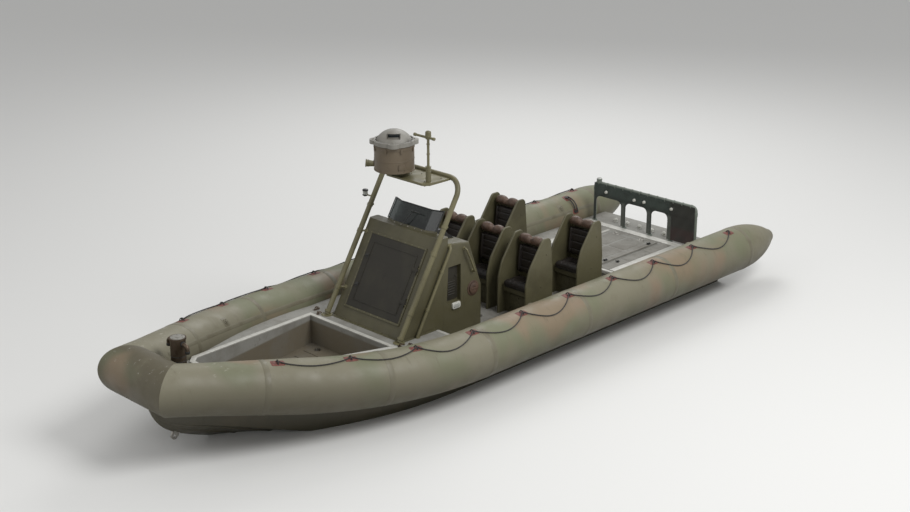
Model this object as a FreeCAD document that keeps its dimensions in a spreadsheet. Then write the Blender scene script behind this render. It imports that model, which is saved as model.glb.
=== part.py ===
import FreeCAD, Part
import math
import os
import Sketcher

V = FreeCAD.Vector

# Driving sizes in millimetres and degrees: x to the bow, y to port, z up from the waterline
SIZES = {
    # Inflatable collar
    "collar_radius": 335, "collar_nose_radius": 306, "collar_side_y": 1481, "collar_side_z": 573,
    "collar_bend_x": 1090, "nose_x": 5015, "nose_half_width": 412, "nose_z": 970, "nose_run": 1506,
    "nose_end_run": 360, "tail_start_x": -4560, "tail_cap_x": -5400, "tail_cap_radius": 115,
    "tail_tip_x": -5500,
    # Reach of the cutting boxes, beyond the boat on every side
    "far": 9000,
    # Running gap between pieces that are not one moulding
    "fit_gap": 0.3, "moving_gap": 6,
    # Overlap of pieces fused into one solid
    "root": 1,
    # Hull offsets at eight stations
    "transom_x": -4700, "transom_keel_z": -500, "transom_chine_in": 0, "transom_chine_rise": 280,
    "jet_x": -2500, "jet_keel_z": -500, "jet_chine_in": 0, "jet_chine_rise": 280,
    "helm_x": 1300, "helm_keel_z": -500, "helm_chine_in": 0, "helm_chine_rise": 300,
    "well_x": 2600, "well_keel_z": -474, "well_chine_in": 20, "well_chine_rise": 350,
    "bluff_x": 3500, "bluff_keel_z": -270, "bluff_chine_in": 95, "bluff_chine_rise": 330,
    "forefoot_x": 4400, "forefoot_keel_z": 60, "forefoot_chine_in": 150, "forefoot_chine_rise": 235,
    "stem_x": 4900, "stem_keel_z": 335, "stem_chine_in": 140, "stem_chine_rise": 130,
    "tip_x": 5080, "tip_keel_z": 680, "tip_chine_in": 90, "tip_chine_rise": 40,
    "sheer_in": 231, "chine_flat": 75, "chine_flat_drop": 14,
    "rail_wide": 62, "rail_inner_share": 0.34, "rail_outer_share": 0.68,
    "transom_foot_x": -4500, "transom_rake": 16.5,
    # Decks
    "sole_z": 420, "sole_thick": 30, "sole_aft_x": -2450, "sole_fore_x": 1050,
    "foredeck_z": 650, "foredeck_thick": 120, "deck_rise_x": 1660, "deck_rise_slope": 4.3,
    "well_aft_x": 1950, "well_aft_half": 775, "well_fore_x": 4090, "well_fore_half": 372,
    "well_end_x": 4180, "well_end_half": 280,
    "well_floor_z": 300, "well_wall": 30, "well_rim_wide": 62, "well_rim_high": 26, "well_rim_root": 5,
    "aft_deck_z": 550, "bay_aft_x": -4060, "bay_fore_x": -2650, "bay_half": 640, "bay_floor_z": -250,
    # Engine hatch and engines
    "hatch_aft_x": -3870, "hatch_fore_x": -2680, "hatch_half": 380, "hatch_thick": 36,
    "hatch_ledge": 26, "hatch_rim_wide": 90, "hatch_rim_high": 26,
    "hinge_radius": 10, "hinge_length": 90, "hinge_y": 230, "hinge_leaf": 40, "hinge_slack": 1,
    "engine_aft_x": -3950, "engine_length": 1050, "engine_height": 610, "engine_side_gap": 60,
    "engine_middle_gap": 120,
    # Console
    "console_half": 678, "console_front_x": 1647, "console_crest_x": 959, "console_crest_z": 1858,
    "console_ledge_x": 800, "console_shelf_z": 1762, "console_back_x": 410, "console_back_z": 1700,
    "console_knee_x": 180, "console_knee_z": 1050, "console_round": 28,
    "locker_fore_x": 840, "locker_aft_x": 580, "locker_foot_z": 930, "locker_top_z": 1440,
    "locker_deep": 60, "locker_top_in": 30, "front_panel_half": 500, "front_panel_foot": 190,
    "front_panel_high": 1010, "front_panel_thick": 10,
    "dash_half": 420, "dash_fore_x": 780, "dash_crest_x": 680, "dash_crest_z": 1880,
    "dash_aft_x": 445, "dash_front_lean": 20,
    # Windscreen
    "screen_foot_x": 878, "screen_half": 300, "screen_wing_x": 818, "screen_wing_half": 455,
    "screen_high": 265, "screen_rake": 32, "screen_thick": 10, "screen_channel": 22,
    "screen_channel_lap": 6,
    # Helm
    "wheel_place": 300, "wheel_radius": 190, "wheel_rim": 14, "wheel_stand": 118, "wheel_hub": 42,
    "helm_pump_radius": 62, "helm_pump_high": 62, "wheel_shaft": 12, "throttle_y": -360,
    "throttle_wide": 110, "throttle_deep": 90, "throttle_high": 130, "lever_radius": 8,
    "lever_long": 140, "lever_lean": 30, "lever_apart": 55, "lever_knob": 17.6, "lever_root": 5,
    "bearing_radius": 21.6, "bearing_over": 14, "wheel_hub_over": 16, "wheel_spoke": 9.8,
    # Arch and what it carries
    "arch_foot_x": 1731, "arch_half": 705, "arch_slope": 0.6, "arch_top_z": 2580, "arch_tube": 35,
    "arch_bend": 230, "arch_foot_plate": 75, "arch_foot_thick": 12, "arch_stay_low": 350,
    "arch_stay_drop": 160, "arch_stay_tube": 14, "arch_stay_in": 45,
    "brace_foot_x": 1420, "brace_top_x": 790, "brace_top_z": 1735, "brace_tube": 22, "brace_off": 38,
    "brace_bend": 60, "brace_root": 30,
    "platform_fore_x": 1035, "platform_half": 400, "platform_mid_y": 100, "platform_z": 2545,
    "platform_thick": 30, "platform_corner": 70, "drum_foot_in": 12, "drum_x": 1000,
    "drum_y": -120, "drum_radius": 262, "drum_z": 2652, "drum_high": 350, "drum_foot_radius": 125,
    "cap_radius": 318, "cap_thick": 55,
    "cap_lobe_radius": 82, "cap_disc_radius": 275, "dome_high": 135, "dome_radius": 232,
    "sight_half": 88, "sight_low": 38, "sight_high": 98, "sight_back": 95,
    "antenna_x": 930, "antenna_y": 440, "antenna_base_radius": 34, "antenna_base_high": 210,
    "antenna_radius": 17, "antenna_top_z": 3240, "antenna_arm": 250, "antenna_arm_port": 110,
    "antenna_arm_radius": 16, "antenna_arm_z": 3165, "antenna_cap_radius": 38, "antenna_cap_high": 64,
    "horn_length": 250, "horn_radius": 48, "horn_throat": 20, "horn_stem": 25, "horn_lip": 12,
    "horn_stem_radius": 12, "horn_lip_radius": 52, "horn_dish_radius": 43, "horn_dish_wall": 4,
    "horn_aim_x": 76, "horn_aim_y": -62, "horn_aim_z": 12,
    "lamp_radius": 38, "lamp_high": 80, "lamp_place_z": 2105, "lamp_out": 150, "lamp_hood": 14,
    "lamp_glass_radius": 28.5, "lamp_arm_radius": 9.8,
    # Seats
    "seat_fore_x": -670, "seat_pitch": 1071, "seat_y": 720, "seat_half": 270, "seat_wing": 32,
    "wing_top_z": 1512, "wing_top_aft": -175, "wing_top_fore": -35, "wing_brow_x": 225,
    "wing_brow_z": 1150, "wing_toe_x": 290, "wing_toe_z": 930, "wing_heel_x": -225,
    "wing_heel_z": 1000, "pan_z": 800, "pan_fore": 215, "pan_heel_in": 60, "back_thick": 40,
    "back_top_z": 1440, "cushion_high": 120, "cushion_fore": 275, "backrest_thick": 110,
    "bolster_high": 130, "bolster_thick": 150, "seat_top_z": 1515, "seat_recline": 5,
    "pan_thick": 60, "soft_gap": 4, "cushion_round": 40, "cushion_back_gap": 6,
    "bolster_rise": 45, "bolster_lean": 20,
    "wing_toe_round": 70, "wing_brow_round": 320, "wing_top_round": 55, "wing_heel_round": 160,
    # Aft guard
    "guard_x": -4206, "guard_side_gap": 161, "guard_foot_z": 550, "guard_top_z": 1216,
    "guard_post_radius": 20, "guard_rail_radius": 24, "guard_canvas_thick": 8,
    "guard_band_z": 985, "guard_arch_round": 90, "guard_post_2": -390, "guard_post_3": 125,
    "guard_post_4": 520, "guard_bend": 70, "guard_foot_radius": 45, "guard_foot_thick": 10,
    "guard_hem": 40, "guard_lift": 30, "guard_lamp_radius": 42, "guard_lamp_high": 55,
    "guard_lamp_in": 75,
    # Fittings
    "bitt_x": 4600, "bitt_radius": 92, "bitt_top_z": 1385, "bitt_bar_radius": 26,
    "bitt_bar_half": 185, "bitt_bar_drop": 72, "bitt_bar_bend": 45, "bitt_foot_radius": 106,
    "bitt_foot_thick": 14, "bitt_cap_over": 10, "bitt_cap_thick": 22, "bitt_bar_gap": 14,
    "cap_row_x": -4362, "cap_row_y": -195, "cap_row_pitch": 242, "deck_cap_radius": 36,
    "deck_cap_high": 55, "deck_cap_stem": 22, "deck_cap_crown": 25, "deck_cap_head": 22,
    "eye_bore": 20, "eye_root": 200, "stern_eye_out": 12, "eye_ring": 48, "eye_thick": 24,
    "bow_eye_x": 4735, "bow_eye_z": 165, "stern_eye_y": 900, "stern_eye_z": 170,
    # Waterjets
    "jet_y": 450, "jet_z": -60, "jet_pivot_x": -5000, "jet_flange_radius": 185,
    "jet_flange_thick": 60, "jet_body_radius": 160, "jet_neck_radius": 80, "jet_neck_length": 92,
    "jet_bore": 66, "nozzle_front_radius": 120, "nozzle_tail_radius": 88, "nozzle_wall": 12,
    "nozzle_length": 210, "nozzle_lap": 15, "pivot_radius": 12, "pivot_slack": 0.05,
    "yoke_z": 132, "yoke_thick": 16, "yoke_half": 32, "cheek_y": 192, "cheek_thick": 12,
    "jet_root": 200, "jet_bore_deep": 108, "cheek_foot": 30, "cheek_pin_root": 5,
    "cheek_pin_over": 10, "yoke_pin_over": 8, "nozzle_boss_radius": 26, "nozzle_mouth": 60,
    "bucket_radius": 268, "bucket_thick": 12, "bucket_low": 22, "bucket_high": 104,
}

doc = FreeCAD.newDocument("inflatable_rib_boat")
sheet = doc.addObject("Spreadsheet::Sheet", "Sizes")
for row, (alias, number) in enumerate(SIZES.items(), 1):
    sheet.set("A%d" % row, alias)
    sheet.set("B%d" % row, str(number))
    sheet.setAlias("B%d" % row, alias)
doc.recompute()


class Size:
    """A number from the sheet that remembers its formula."""

    def __init__(self, number, formula):
        self.number = float(number)
        self.formula = formula

    def __float__(self):
        return self.number

    def __add__(self, other):
        return Size(self.number + float(other), "(%s + %s)" % (self.formula, formula_of(other)))

    def __sub__(self, other):
        return Size(self.number - float(other), "(%s - %s)" % (self.formula, formula_of(other)))

    def __mul__(self, other):
        return Size(self.number * float(other), "(%s * %s)" % (self.formula, formula_of(other)))

    def __truediv__(self, other):
        return Size(self.number / float(other), "(%s / %s)" % (self.formula, formula_of(other)))

    def __radd__(self, other):
        return Size(float(other), formula_of(other)) + self

    def __rsub__(self, other):
        return Size(float(other), formula_of(other)) - self

    def __rmul__(self, other):
        return Size(float(other), formula_of(other)) * self

    def __neg__(self):
        return Size(-self.number, "(0 - %s)" % self.formula)


def formula_of(value):
    return value.formula if isinstance(value, Size) else "(%r)" % float(value)


class Sheet:
    """Gives each alias of the sheet as a Size."""

    def __getattr__(self, alias):
        return Size(sheet.get(alias), "Sizes." + alias)


S = Sheet()
PIECES = []


def bind(thing, path, value):
    thing.setExpression(path, formula_of(value))


def piece(thing, label):
    """Counts an object as one sub-part of the boat, under its own label."""
    thing.Label = label
    PIECES.append(thing)
    return thing


def shape_piece(label, shape):
    thing = doc.addObject("Part::Feature", label)
    thing.Shape = shape
    return piece(thing, label)


# Sketched bodies

def new_body(name):
    return doc.addObject("PartDesign::Body", name)


def sketch_on(body, plane, points, shift=0.0):
    """A closed outline of straight lines; every corner is bound to the sheet."""
    sketch = body.newObject("Sketcher::SketchObject", body.Name + "_outline")
    origin = [part for part in body.Origin.OriginFeatures if part.Role == plane][0]
    sketch.AttachmentSupport = [(origin, "")]
    sketch.MapMode = "FlatFace"
    bind(sketch, "AttachmentOffset.Base.z", shift)
    count = len(points)
    corners = [V(float(u), float(v), 0) for u, v in points]
    for i in range(count):
        sketch.addGeometry(Part.LineSegment(corners[i], corners[(i + 1) % count]))
    for i in range(count):
        sketch.addConstraint(Sketcher.Constraint("Coincident", i, 2, (i + 1) % count, 1))
    for i, point in enumerate(points):
        for way, value in zip(("DistanceX", "DistanceY"), point):
            link = sketch.addConstraint(Sketcher.Constraint(way, -1, 1, i, 1, float(value)))
            bind(sketch, "Constraints[%d]" % link, value)
    return sketch


def pad(body, sketch, length, both=True):
    feature = body.newObject("PartDesign::Pad", body.Name + "_pad")
    feature.Profile = sketch
    if both:
        feature.SideType = "Symmetric"
    bind(feature, "Length", length)
    return feature


def pocket(body, sketch, length, reverse=False):
    doc.recompute()
    before = body.Tip.Shape.Volume
    feature = body.newObject("PartDesign::Pocket", body.Name + "_pocket")
    feature.Profile = sketch
    feature.Reversed = reverse
    bind(feature, "Length", length)
    doc.recompute()
    if feature.Shape.Volume > before - 1:
        raise ValueError("pocket in %s cuts nothing" % body.Name)
    return feature


def fillet(body, radius, chosen):
    """Rounds the edges of the body's last feature for which chosen(edge) is true."""
    doc.recompute()
    base = body.Tip
    names = ["Edge%d" % i for i, edge in enumerate(base.Shape.Edges, 1) if chosen(edge)]
    feature = body.newObject("PartDesign::Fillet", body.Name + "_fillet")
    feature.Base = (base, names)
    bind(feature, "Radius", radius)
    return feature


# Solids made from Part's own functions

def prism(points, direction, at=0.0):
    """Extrudes a polygon that lies across direction: XZ for a y direction, XY for a z one."""
    flat = [V(float(u), float(v), 0) for u, v in points]
    if abs(direction.y) > abs(direction.z):
        flat = [V(p.x, float(at), p.y) for p in flat]
    else:
        flat = [V(p.x, p.y, float(at)) for p in flat]
    return Part.Face(Part.makePolygon(flat + flat[:1])).extrude(direction)


def side_prism(points, half):
    """A polygon in x and z, extruded half to each side of the centreline."""
    return prism(points, V(0, 2 * float(half), 0), -float(half))


def block(x, y, z):
    """A box from its lowest and highest x, y and z."""
    low = V(float(x[0]), float(y[0]), float(z[0]))
    return Part.makeBox(float(x[1]) - low.x, float(y[1]) - low.y, float(z[1]) - low.z, low)


def half_space(point, normal):
    """A large box on the side of a plane that its normal points to."""
    reach = float(S.far)
    turn = FreeCAD.Rotation(V(0, 0, 1), normal)
    box = Part.makeBox(reach, reach, reach, V(-reach / 2, -reach / 2, 0))
    box.Placement = FreeCAD.Placement(point, turn)
    return box


def corner_arc(before, corner, after, bend):
    """Start, middle and end of the arc that rounds a corner."""
    run_in = (before - corner).normalize()
    run_out = (after - corner).normalize()
    half_turn = (math.pi - run_in.getAngle(run_out)) / 2
    cut = float(bend) * math.tan(half_turn)
    inward = (run_in + run_out).normalize()
    middle = corner + inward * (float(bend) / math.cos(half_turn) - float(bend))
    return corner + run_in * cut, middle, corner + run_out * cut


def rounded_prism(points, direction, at):
    """Extrudes along y a polygon in x and z; each point holds its corner's radius too."""
    corners = [V(float(x), float(at), float(z)) for x, z, bend in points]
    arcs = []
    for i, (x, z, bend) in enumerate(points):
        after = corners[(i + 1) % len(points)]
        arcs.append(corner_arc(corners[i - 1], corners[i], after, bend) if bend else (corners[i],))
    edges = []
    for i, arc in enumerate(arcs):
        if len(arc) > 1:
            edges.append(Part.Arc(*arc).toShape())
        edges.append(Part.LineSegment(arc[-1], arcs[(i + 1) % len(arcs)][0]).toShape())
    return Part.Face(Part.Wire(edges)).extrude(direction)


def bent_tube(points, bend, radius, bore=0.0):
    """A round bar along straight runs, with an arc of radius bend at each corner."""
    points = [V(*[float(n) for n in point]) for point in points]
    edges = []
    start = points[0]
    for before, corner, after in zip(points, points[1:], points[2:]):
        first, middle, last = corner_arc(before, corner, after, bend)
        edges.append(Part.LineSegment(start, first).toShape())
        edges.append(Part.Arc(first, middle, last).toShape())
        start = last
    edges.append(Part.LineSegment(start, points[-1]).toShape())
    path = Part.Wire(edges)

    def swept(r):
        ring = Part.Wire(Part.Circle(points[0], points[1] - points[0], r).toShape())
        return path.makePipeShell([ring], True, False)
    bar = swept(float(radius))
    return bar.cut(swept(float(bore))) if bore else bar


def rod(start, end, radius):
    start = V(*[float(n) for n in start])
    end = V(*[float(n) for n in end])
    return Part.makeCylinder(float(radius), (end - start).Length, start, end - start)


def joined(shapes):
    """One solid from shapes that meet."""
    return shapes[0].fuse(shapes[1:]).removeSplitter()


# Collar: straight side, one long bend and a straight run to a mitred nose, all in a tilted plane

def collar_route(side):
    """Centre line of one side tube; side is 1 to port and -1 to starboard."""
    start = V(S.collar_bend_x, side * S.collar_side_y, S.collar_side_z)
    corner = V(S.nose_x, side * S.nose_half_width, S.nose_z)
    ahead = V(1, 0, 0)
    inward = V(0, corner.y - start.y, corner.z - start.z)
    offset = inward.Length
    inward = inward.normalize()
    run = corner.x - start.x
    straight = float(S.nose_run)
    tangent = (run ** 2 + offset ** 2 - straight ** 2) / (2 * (run + straight))
    turn = math.atan2(offset, run - tangent)
    radius = tangent / math.tan(turn / 2)
    centre = start + inward * radius
    heading = ahead * math.cos(turn) + inward * math.sin(turn)
    bend_end = centre + ahead * (radius * math.sin(turn)) - inward * (radius * math.cos(turn))
    return {"start": start, "corner": corner, "ahead": ahead, "inward": inward, "turn": turn,
            "radius": radius, "centre": centre, "heading": heading, "bend_end": bend_end,
            "straight": straight}


def collar_centre(x):
    """Half breadth and height of the tube's centre line at x."""
    way = collar_route(1)
    if x <= way["start"].x:
        offset = 0.0
    elif x <= way["bend_end"].x:
        radius = way["radius"]
        offset = radius - math.sqrt(radius ** 2 - (x - way["start"].x) ** 2)
    else:
        offset = (way["corner"] - way["start"]).dot(way["inward"])
        offset -= (way["corner"].x - x) * math.tan(way["turn"])
    return way["start"].y + way["inward"].y * offset, way["start"].z + way["inward"].z * offset


def mitre_normal(side):
    across = V(0, -side, 0)
    return (collar_route(side)["heading"] + across).normalize()


def side_tube(side, aft_x, grow=0.0):
    way = collar_route(side)
    big = float(S.collar_radius) + grow
    small = float(S.collar_nose_radius) + grow
    straight = Part.makeCylinder(big, way["start"].x - float(aft_x),
                                 V(aft_x, way["start"].y, way["start"].z), way["ahead"])
    ring = Part.Wire(Part.Circle(way["start"], way["ahead"], big).toShape())
    axis = way["ahead"].cross(way["inward"])
    bend = Part.Face(ring).revolve(way["centre"], axis, math.degrees(way["turn"]))
    taper = way["straight"] - float(S.nose_end_run)
    cone = Part.makeCone(big, small, taper, way["bend_end"], way["heading"])
    end_start = way["bend_end"] + way["heading"] * taper
    end = Part.makeCylinder(small, float(S.nose_end_run) + 2 * small, end_start, way["heading"])
    end = end.cut(half_space(way["corner"], mitre_normal(side)))
    return joined([straight, bend, cone, end])


def nose_tube(grow=0.0):
    radius = float(S.collar_nose_radius) + grow
    reach = float(S.nose_half_width) + 2 * radius
    tube = Part.makeCylinder(radius, 2 * reach, V(S.nose_x, -reach, S.nose_z), V(0, 1, 0))
    for side in (1, -1):
        tube = tube.cut(half_space(collar_route(side)["corner"], mitre_normal(side) * -1))
    return tube


def tail_cone(side):
    """Long rounded cone that closes the tube behind the transom."""
    profile_start = V(S.tail_start_x, 0, S.collar_radius)
    cap = V(S.tail_cap_x, 0, S.tail_cap_radius)
    tip = V(S.tail_tip_x, 0, 0)
    run = profile_start.x - cap.x
    drop = profile_start.z - cap.z
    radius = (run ** 2 + drop ** 2) / (2 * drop)
    half_run = run / 2
    middle = V(profile_start.x - half_run, 0,
               profile_start.z - radius + math.sqrt(radius ** 2 - half_run ** 2))
    end_run = cap.x - tip.x
    end_radius = (end_run ** 2 + cap.z ** 2) / (2 * end_run)
    end_centre = V(tip.x + end_radius, 0, 0)
    spread = math.asin(cap.z / end_radius) / 2
    end_middle = end_centre + V(-math.cos(spread), 0, math.sin(spread)) * end_radius
    foot = V(profile_start.x, 0, 0)
    wire = Part.Wire([Part.LineSegment(foot, profile_start).toShape(),
                      Part.Arc(profile_start, middle, cap).toShape(),
                      Part.Arc(cap, end_middle, tip).toShape(),
                      Part.LineSegment(tip, foot).toShape()])
    cone = Part.Face(wire).revolve(V(0, 0, 0), V(1, 0, 0), 360)
    cone.translate(V(0, side * S.collar_side_y, S.collar_side_z))
    return cone


# Hull form: lines faired through eight stations; its deck edge hides inside the tube

STATIONS = ("transom", "jet", "helm", "well", "bluff", "forefoot", "stem", "tip")


def spray_rail(keel, chine, share, wide):
    """Root, lower edge and upper edge of a rail with a level foot, at a share of the bottom."""
    root = keel + (chine - keel) * share
    outer = keel + (chine - keel) * (share + wide / (chine.y - keel.y))
    return [root, V(root.x, outer.y, root.z), outer]


def station_points(station):
    """Keel, two spray rails, inner and outer chine and deck edge of one station's port half."""
    x = float(getattr(S, station + "_x"))
    keel = float(getattr(S, station + "_keel_z"))
    inset = float(getattr(S, station + "_chine_in"))
    chine = keel + float(getattr(S, station + "_chine_rise"))
    sheer_y = collar_centre(x)[0] - float(S.sheer_in)
    top = foredeck_height(x) + float(S.collar_nose_radius) / 2
    chine_y = sheer_y - inset
    breadth = chine_y / (float(S.collar_side_y) - float(S.sheer_in))
    inner_y = chine_y - float(S.chine_flat) * breadth
    foot, turn = V(x, 0, keel), V(x, inner_y, chine)
    rails = []
    for share in (S.rail_inner_share, S.rail_outer_share):
        rails += spray_rail(foot, turn, float(share), float(S.rail_wide) * breadth)
    return [foot] + rails + [turn, V(x, chine_y, chine - float(S.chine_flat_drop)), V(x, sheer_y, top)]


def hull_form():
    """Straight aft of the helm, faired forward of it, closed over at deck level."""
    rows = [station_points(station) for station in STATIONS]
    lines = list(zip(*rows))
    lines += [[V(p.x, -p.y, p.z) for p in line] for line in reversed(lines[1:])]
    helm = STATIONS.index("helm")
    keel = lines[0][helm:]
    shares = [0.0]
    for here, ahead in zip(keel, keel[1:]):
        shares.append(shares[-1] + (ahead - here).Length)
    faces = []
    aft_edges = []
    fore_edges = []
    for line in lines:
        start, join = line[0], line[helm]
        aft_edges.append(Part.LineSegment(start, join).toShape())
        curve = Part.BSplineCurve()
        points = list(line[helm:])
        tangents = [V(0, 0, 0)] * len(points)
        flags = [False] * len(points)
        tangents[0] = (join - start).normalize()
        flags[0] = True
        curve.interpolate(Points=points, Parameters=shares, Tangents=tangents, TangentFlags=flags)
        fore_edges.append(curve.toShape())
    for edges in (aft_edges, fore_edges):
        for one, other in zip(edges, edges[1:] + edges[:1]):
            faces.append(Part.makeRuledSurface(one, other))
    for end in (0, -1):
        ring = [line[end] for line in lines]
        faces.append(Part.Face(Part.makePolygon(ring + ring[:1])))
    shell = Part.makeShell(faces)
    shell.sewShape()
    solid = Part.makeSolid(shell)
    if solid.Volume < 0:
        solid.reverse()
    return solid


def deck_slope():
    return math.tan(math.radians(float(S.deck_rise_slope)))


def foredeck_height(x):
    return float(S.foredeck_z) + max(0.0, float(x) - float(S.deck_rise_x)) * deck_slope()


def above_foredeck(lift, start_x):
    """Everything above the foredeck's surface, raised by lift, forward of start_x."""
    end_x = float(S.far)
    level = float(S.foredeck_z) + lift
    points = [(start_x, level), (S.deck_rise_x, level), (end_x, foredeck_height(end_x) + lift),
              (end_x, S.far), (start_x, S.far)]
    return side_prism(points, S.far)


def behind_transom(gap=0.0):
    """Everything behind the raked transom."""
    rake = math.radians(float(S.transom_rake))
    return half_space(V(float(S.transom_foot_x) + gap, 0, 0), V(-math.cos(rake), 0, -math.sin(rake)))


def well_outline(grow):
    half = [(S.well_aft_x, S.well_aft_half), (S.well_fore_x, S.well_fore_half),
            (S.well_end_x, S.well_end_half)]
    points = half + [(x, -y) for x, y in reversed(half)]
    flat = [V(float(x), float(y), 0) for x, y in points]
    wire = Part.makePolygon(flat + flat[:1])
    return wire.makeOffset2D(grow, 2) if grow else wire


def well_prism(grow, low, high):
    face = Part.Face(well_outline(grow))
    face.translate(V(0, 0, float(low)))
    return face.extrude(V(0, 0, float(high) - float(low)))


def make_hull_family():
    gap = float(S.fit_gap)
    tubes = [side_tube(side, S.tail_tip_x, gap) for side in (1, -1)]
    collar_space = nose_tube(gap).fuse(tubes)
    form = hull_form().cut(collar_space).cut(behind_transom())
    sky = S.far
    wide = (-S.far, S.far)
    sole_low = S.sole_z - S.sole_thick
    fore_zone = above_foredeck(-float(S.foredeck_thick), S.sole_fore_x)
    tub = well_prism(float(S.well_wall), S.well_floor_z - S.well_wall, sky)
    mid_zone = block((-S.far, S.sole_fore_x), wide, (sole_low, sky))
    bay = block((S.bay_aft_x, S.bay_fore_x), (-S.bay_half, S.bay_half), (S.bay_floor_z, sky))
    hull = form.cut([fore_zone, tub, mid_zone, bay])
    shape_piece("hull", max(hull.Solids, key=lambda solid: solid.Volume))

    sole = form.common(block((S.sole_aft_x, S.sole_fore_x), wide, (sole_low, S.sole_z)))
    shape_piece("cockpit_sole", sole.Solids[0])

    fore = form.common(fore_zone.fuse(tub)).cut(above_foredeck(0, S.sole_fore_x))
    fore = fore.cut(well_prism(0, S.well_floor_z, sky))
    rim = well_prism(float(S.well_rim_wide), S.well_floor_z, sky).cut(well_prism(0, 0, sky))
    rim = rim.common(above_foredeck(-float(S.well_rim_root), S.sole_fore_x)).cut(
        above_foredeck(float(S.well_rim_high), S.sole_fore_x)).cut(collar_space)
    fore = fore.fuse(rim).removeSplitter()
    shape_piece("foredeck", max(fore.Solids, key=lambda solid: solid.Volume))

    aft = form.common(block((-S.far, S.sole_aft_x), wide, (sole_low, S.aft_deck_z)))
    rim_out = S.hatch_rim_wide
    rim = block((S.hatch_aft_x - rim_out, S.hatch_fore_x + rim_out),
                (-S.hatch_half - rim_out, S.hatch_half + rim_out),
                (S.aft_deck_z - S.root, S.aft_deck_z + S.hatch_rim_high))
    slack = S.moving_gap
    lid_low = S.aft_deck_z + S.hatch_rim_high - S.hatch_thick - S.fit_gap
    opening = block((S.hatch_aft_x - slack, S.hatch_fore_x + slack),
                    (-S.hatch_half - slack, S.hatch_half + slack), (lid_low, sky))
    ledge = S.hatch_ledge
    throat = block((S.hatch_aft_x + ledge, S.hatch_fore_x - ledge),
                   (-S.hatch_half + ledge, S.hatch_half - ledge), (0, sky))
    aft = aft.fuse(rim).cut([opening, throat])
    notches = []
    pins = []
    axis_z = S.aft_deck_z + S.hatch_rim_high
    for y in (S.hinge_y, -S.hinge_y):
        reach = float(S.hinge_length) / 2
        round_gap = float(S.hinge_radius) + float(S.moving_gap)
        whole = reach + float(S.hinge_leaf)
        notches.append(rod((S.hatch_fore_x, float(y) - whole, axis_z),
                           (S.hatch_fore_x, float(y) + whole, axis_z), round_gap))
        for end in (-1, 1):
            near = float(y) + end * (reach + float(S.hinge_slack))
            far = float(y) + end * whole
            pins.append(rod((S.hatch_fore_x, near, axis_z), (S.hatch_fore_x, far, axis_z),
                            S.hinge_radius))
            low = min(near, far)
            pins.append(block((S.hatch_fore_x, S.hatch_fore_x + round_gap + S.root),
                              (low, low + abs(far - near)),
                              (axis_z - S.hinge_radius, axis_z)))
    aft = aft.cut(notches).fuse(pins).removeSplitter()
    shape_piece("aft_deck", max(aft.Solids, key=lambda solid: solid.Volume))
    return form


def make_hatch():
    top = S.aft_deck_z + S.hatch_rim_high
    lid = block((S.hatch_aft_x, S.hatch_fore_x), (-S.hatch_half, S.hatch_half),
                (top - S.hatch_thick, top))
    reach = float(S.hinge_length) / 2
    ears = []
    clear = []
    for y in (S.hinge_y, -S.hinge_y):
        whole = reach + float(S.hinge_leaf) + float(S.moving_gap)
        clear.append(rod((S.hatch_fore_x, float(y) - whole, top),
                         (S.hatch_fore_x, float(y) + whole, top),
                         S.hinge_radius + S.moving_gap))
        ears.append(rod((S.hatch_fore_x, float(y) - reach, top),
                        (S.hatch_fore_x, float(y) + reach, top), S.hinge_radius))
        ears.append(block((S.hatch_fore_x - S.hinge_radius - S.moving_gap - S.root * 2, S.hatch_fore_x),
                          (float(y) - reach, float(y) + reach), (top - S.hinge_radius, top)))
    shape_piece("engine_hatch_lid", lid.cut(clear).fuse(ears).removeSplitter())


def make_engines():
    width = S.bay_half - S.engine_side_gap - S.engine_middle_gap / 2
    for side, name in ((1, "engine_port"), (-1, "engine_starboard")):
        middle = side * (S.engine_middle_gap / 2 + width / 2)
        engine = piece(doc.addObject("Part::Box", name), name)
        bind(engine, "Length", S.engine_length)
        bind(engine, "Width", width)
        bind(engine, "Height", S.engine_height)
        bind(engine, "Placement.Base.x", S.engine_aft_x)
        bind(engine, "Placement.Base.y", middle - width / 2)
        bind(engine, "Placement.Base.z", S.bay_floor_z)


# Console and helm

def console_rake():
    return math.atan2(float(S.console_front_x) - float(S.console_crest_x),
                      float(S.console_crest_z) - float(S.foredeck_z))


def make_console():
    body = new_body("console")
    outline = [(S.console_front_x, S.foredeck_z), (S.console_crest_x, S.console_crest_z),
               (S.console_ledge_x, S.console_crest_z), (S.console_ledge_x, S.console_shelf_z),
               (S.console_back_x, S.console_back_z), (S.console_knee_x, S.console_knee_z),
               (S.console_knee_x, S.sole_z), (S.sole_fore_x, S.sole_z),
               (S.sole_fore_x, S.foredeck_z)]
    sketch = sketch_on(body, "XZ_Plane", outline)
    pad(body, sketch, 2 * S.console_half)

    def upper_rim(edge):
        box = edge.BoundBox
        on_side = box.YLength < 1 and abs(abs(box.YMin) - float(S.console_half)) < 1
        return on_side and box.ZMax > float(S.console_knee_z) - 1 and box.ZLength > 40
    fillet(body, S.console_round, upper_rim)
    recess = [(S.locker_aft_x, S.locker_foot_z), (S.locker_fore_x, S.locker_foot_z),
              (S.locker_fore_x - S.locker_top_in, S.locker_top_z), (S.locker_aft_x, S.locker_top_z)]
    for side in (1, -1):
        sketch = sketch_on(body, "XZ_Plane", recess, -side * S.console_half)
        pocket(body, sketch, S.locker_deep, reverse=side > 0)
    piece(body, "console")


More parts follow.
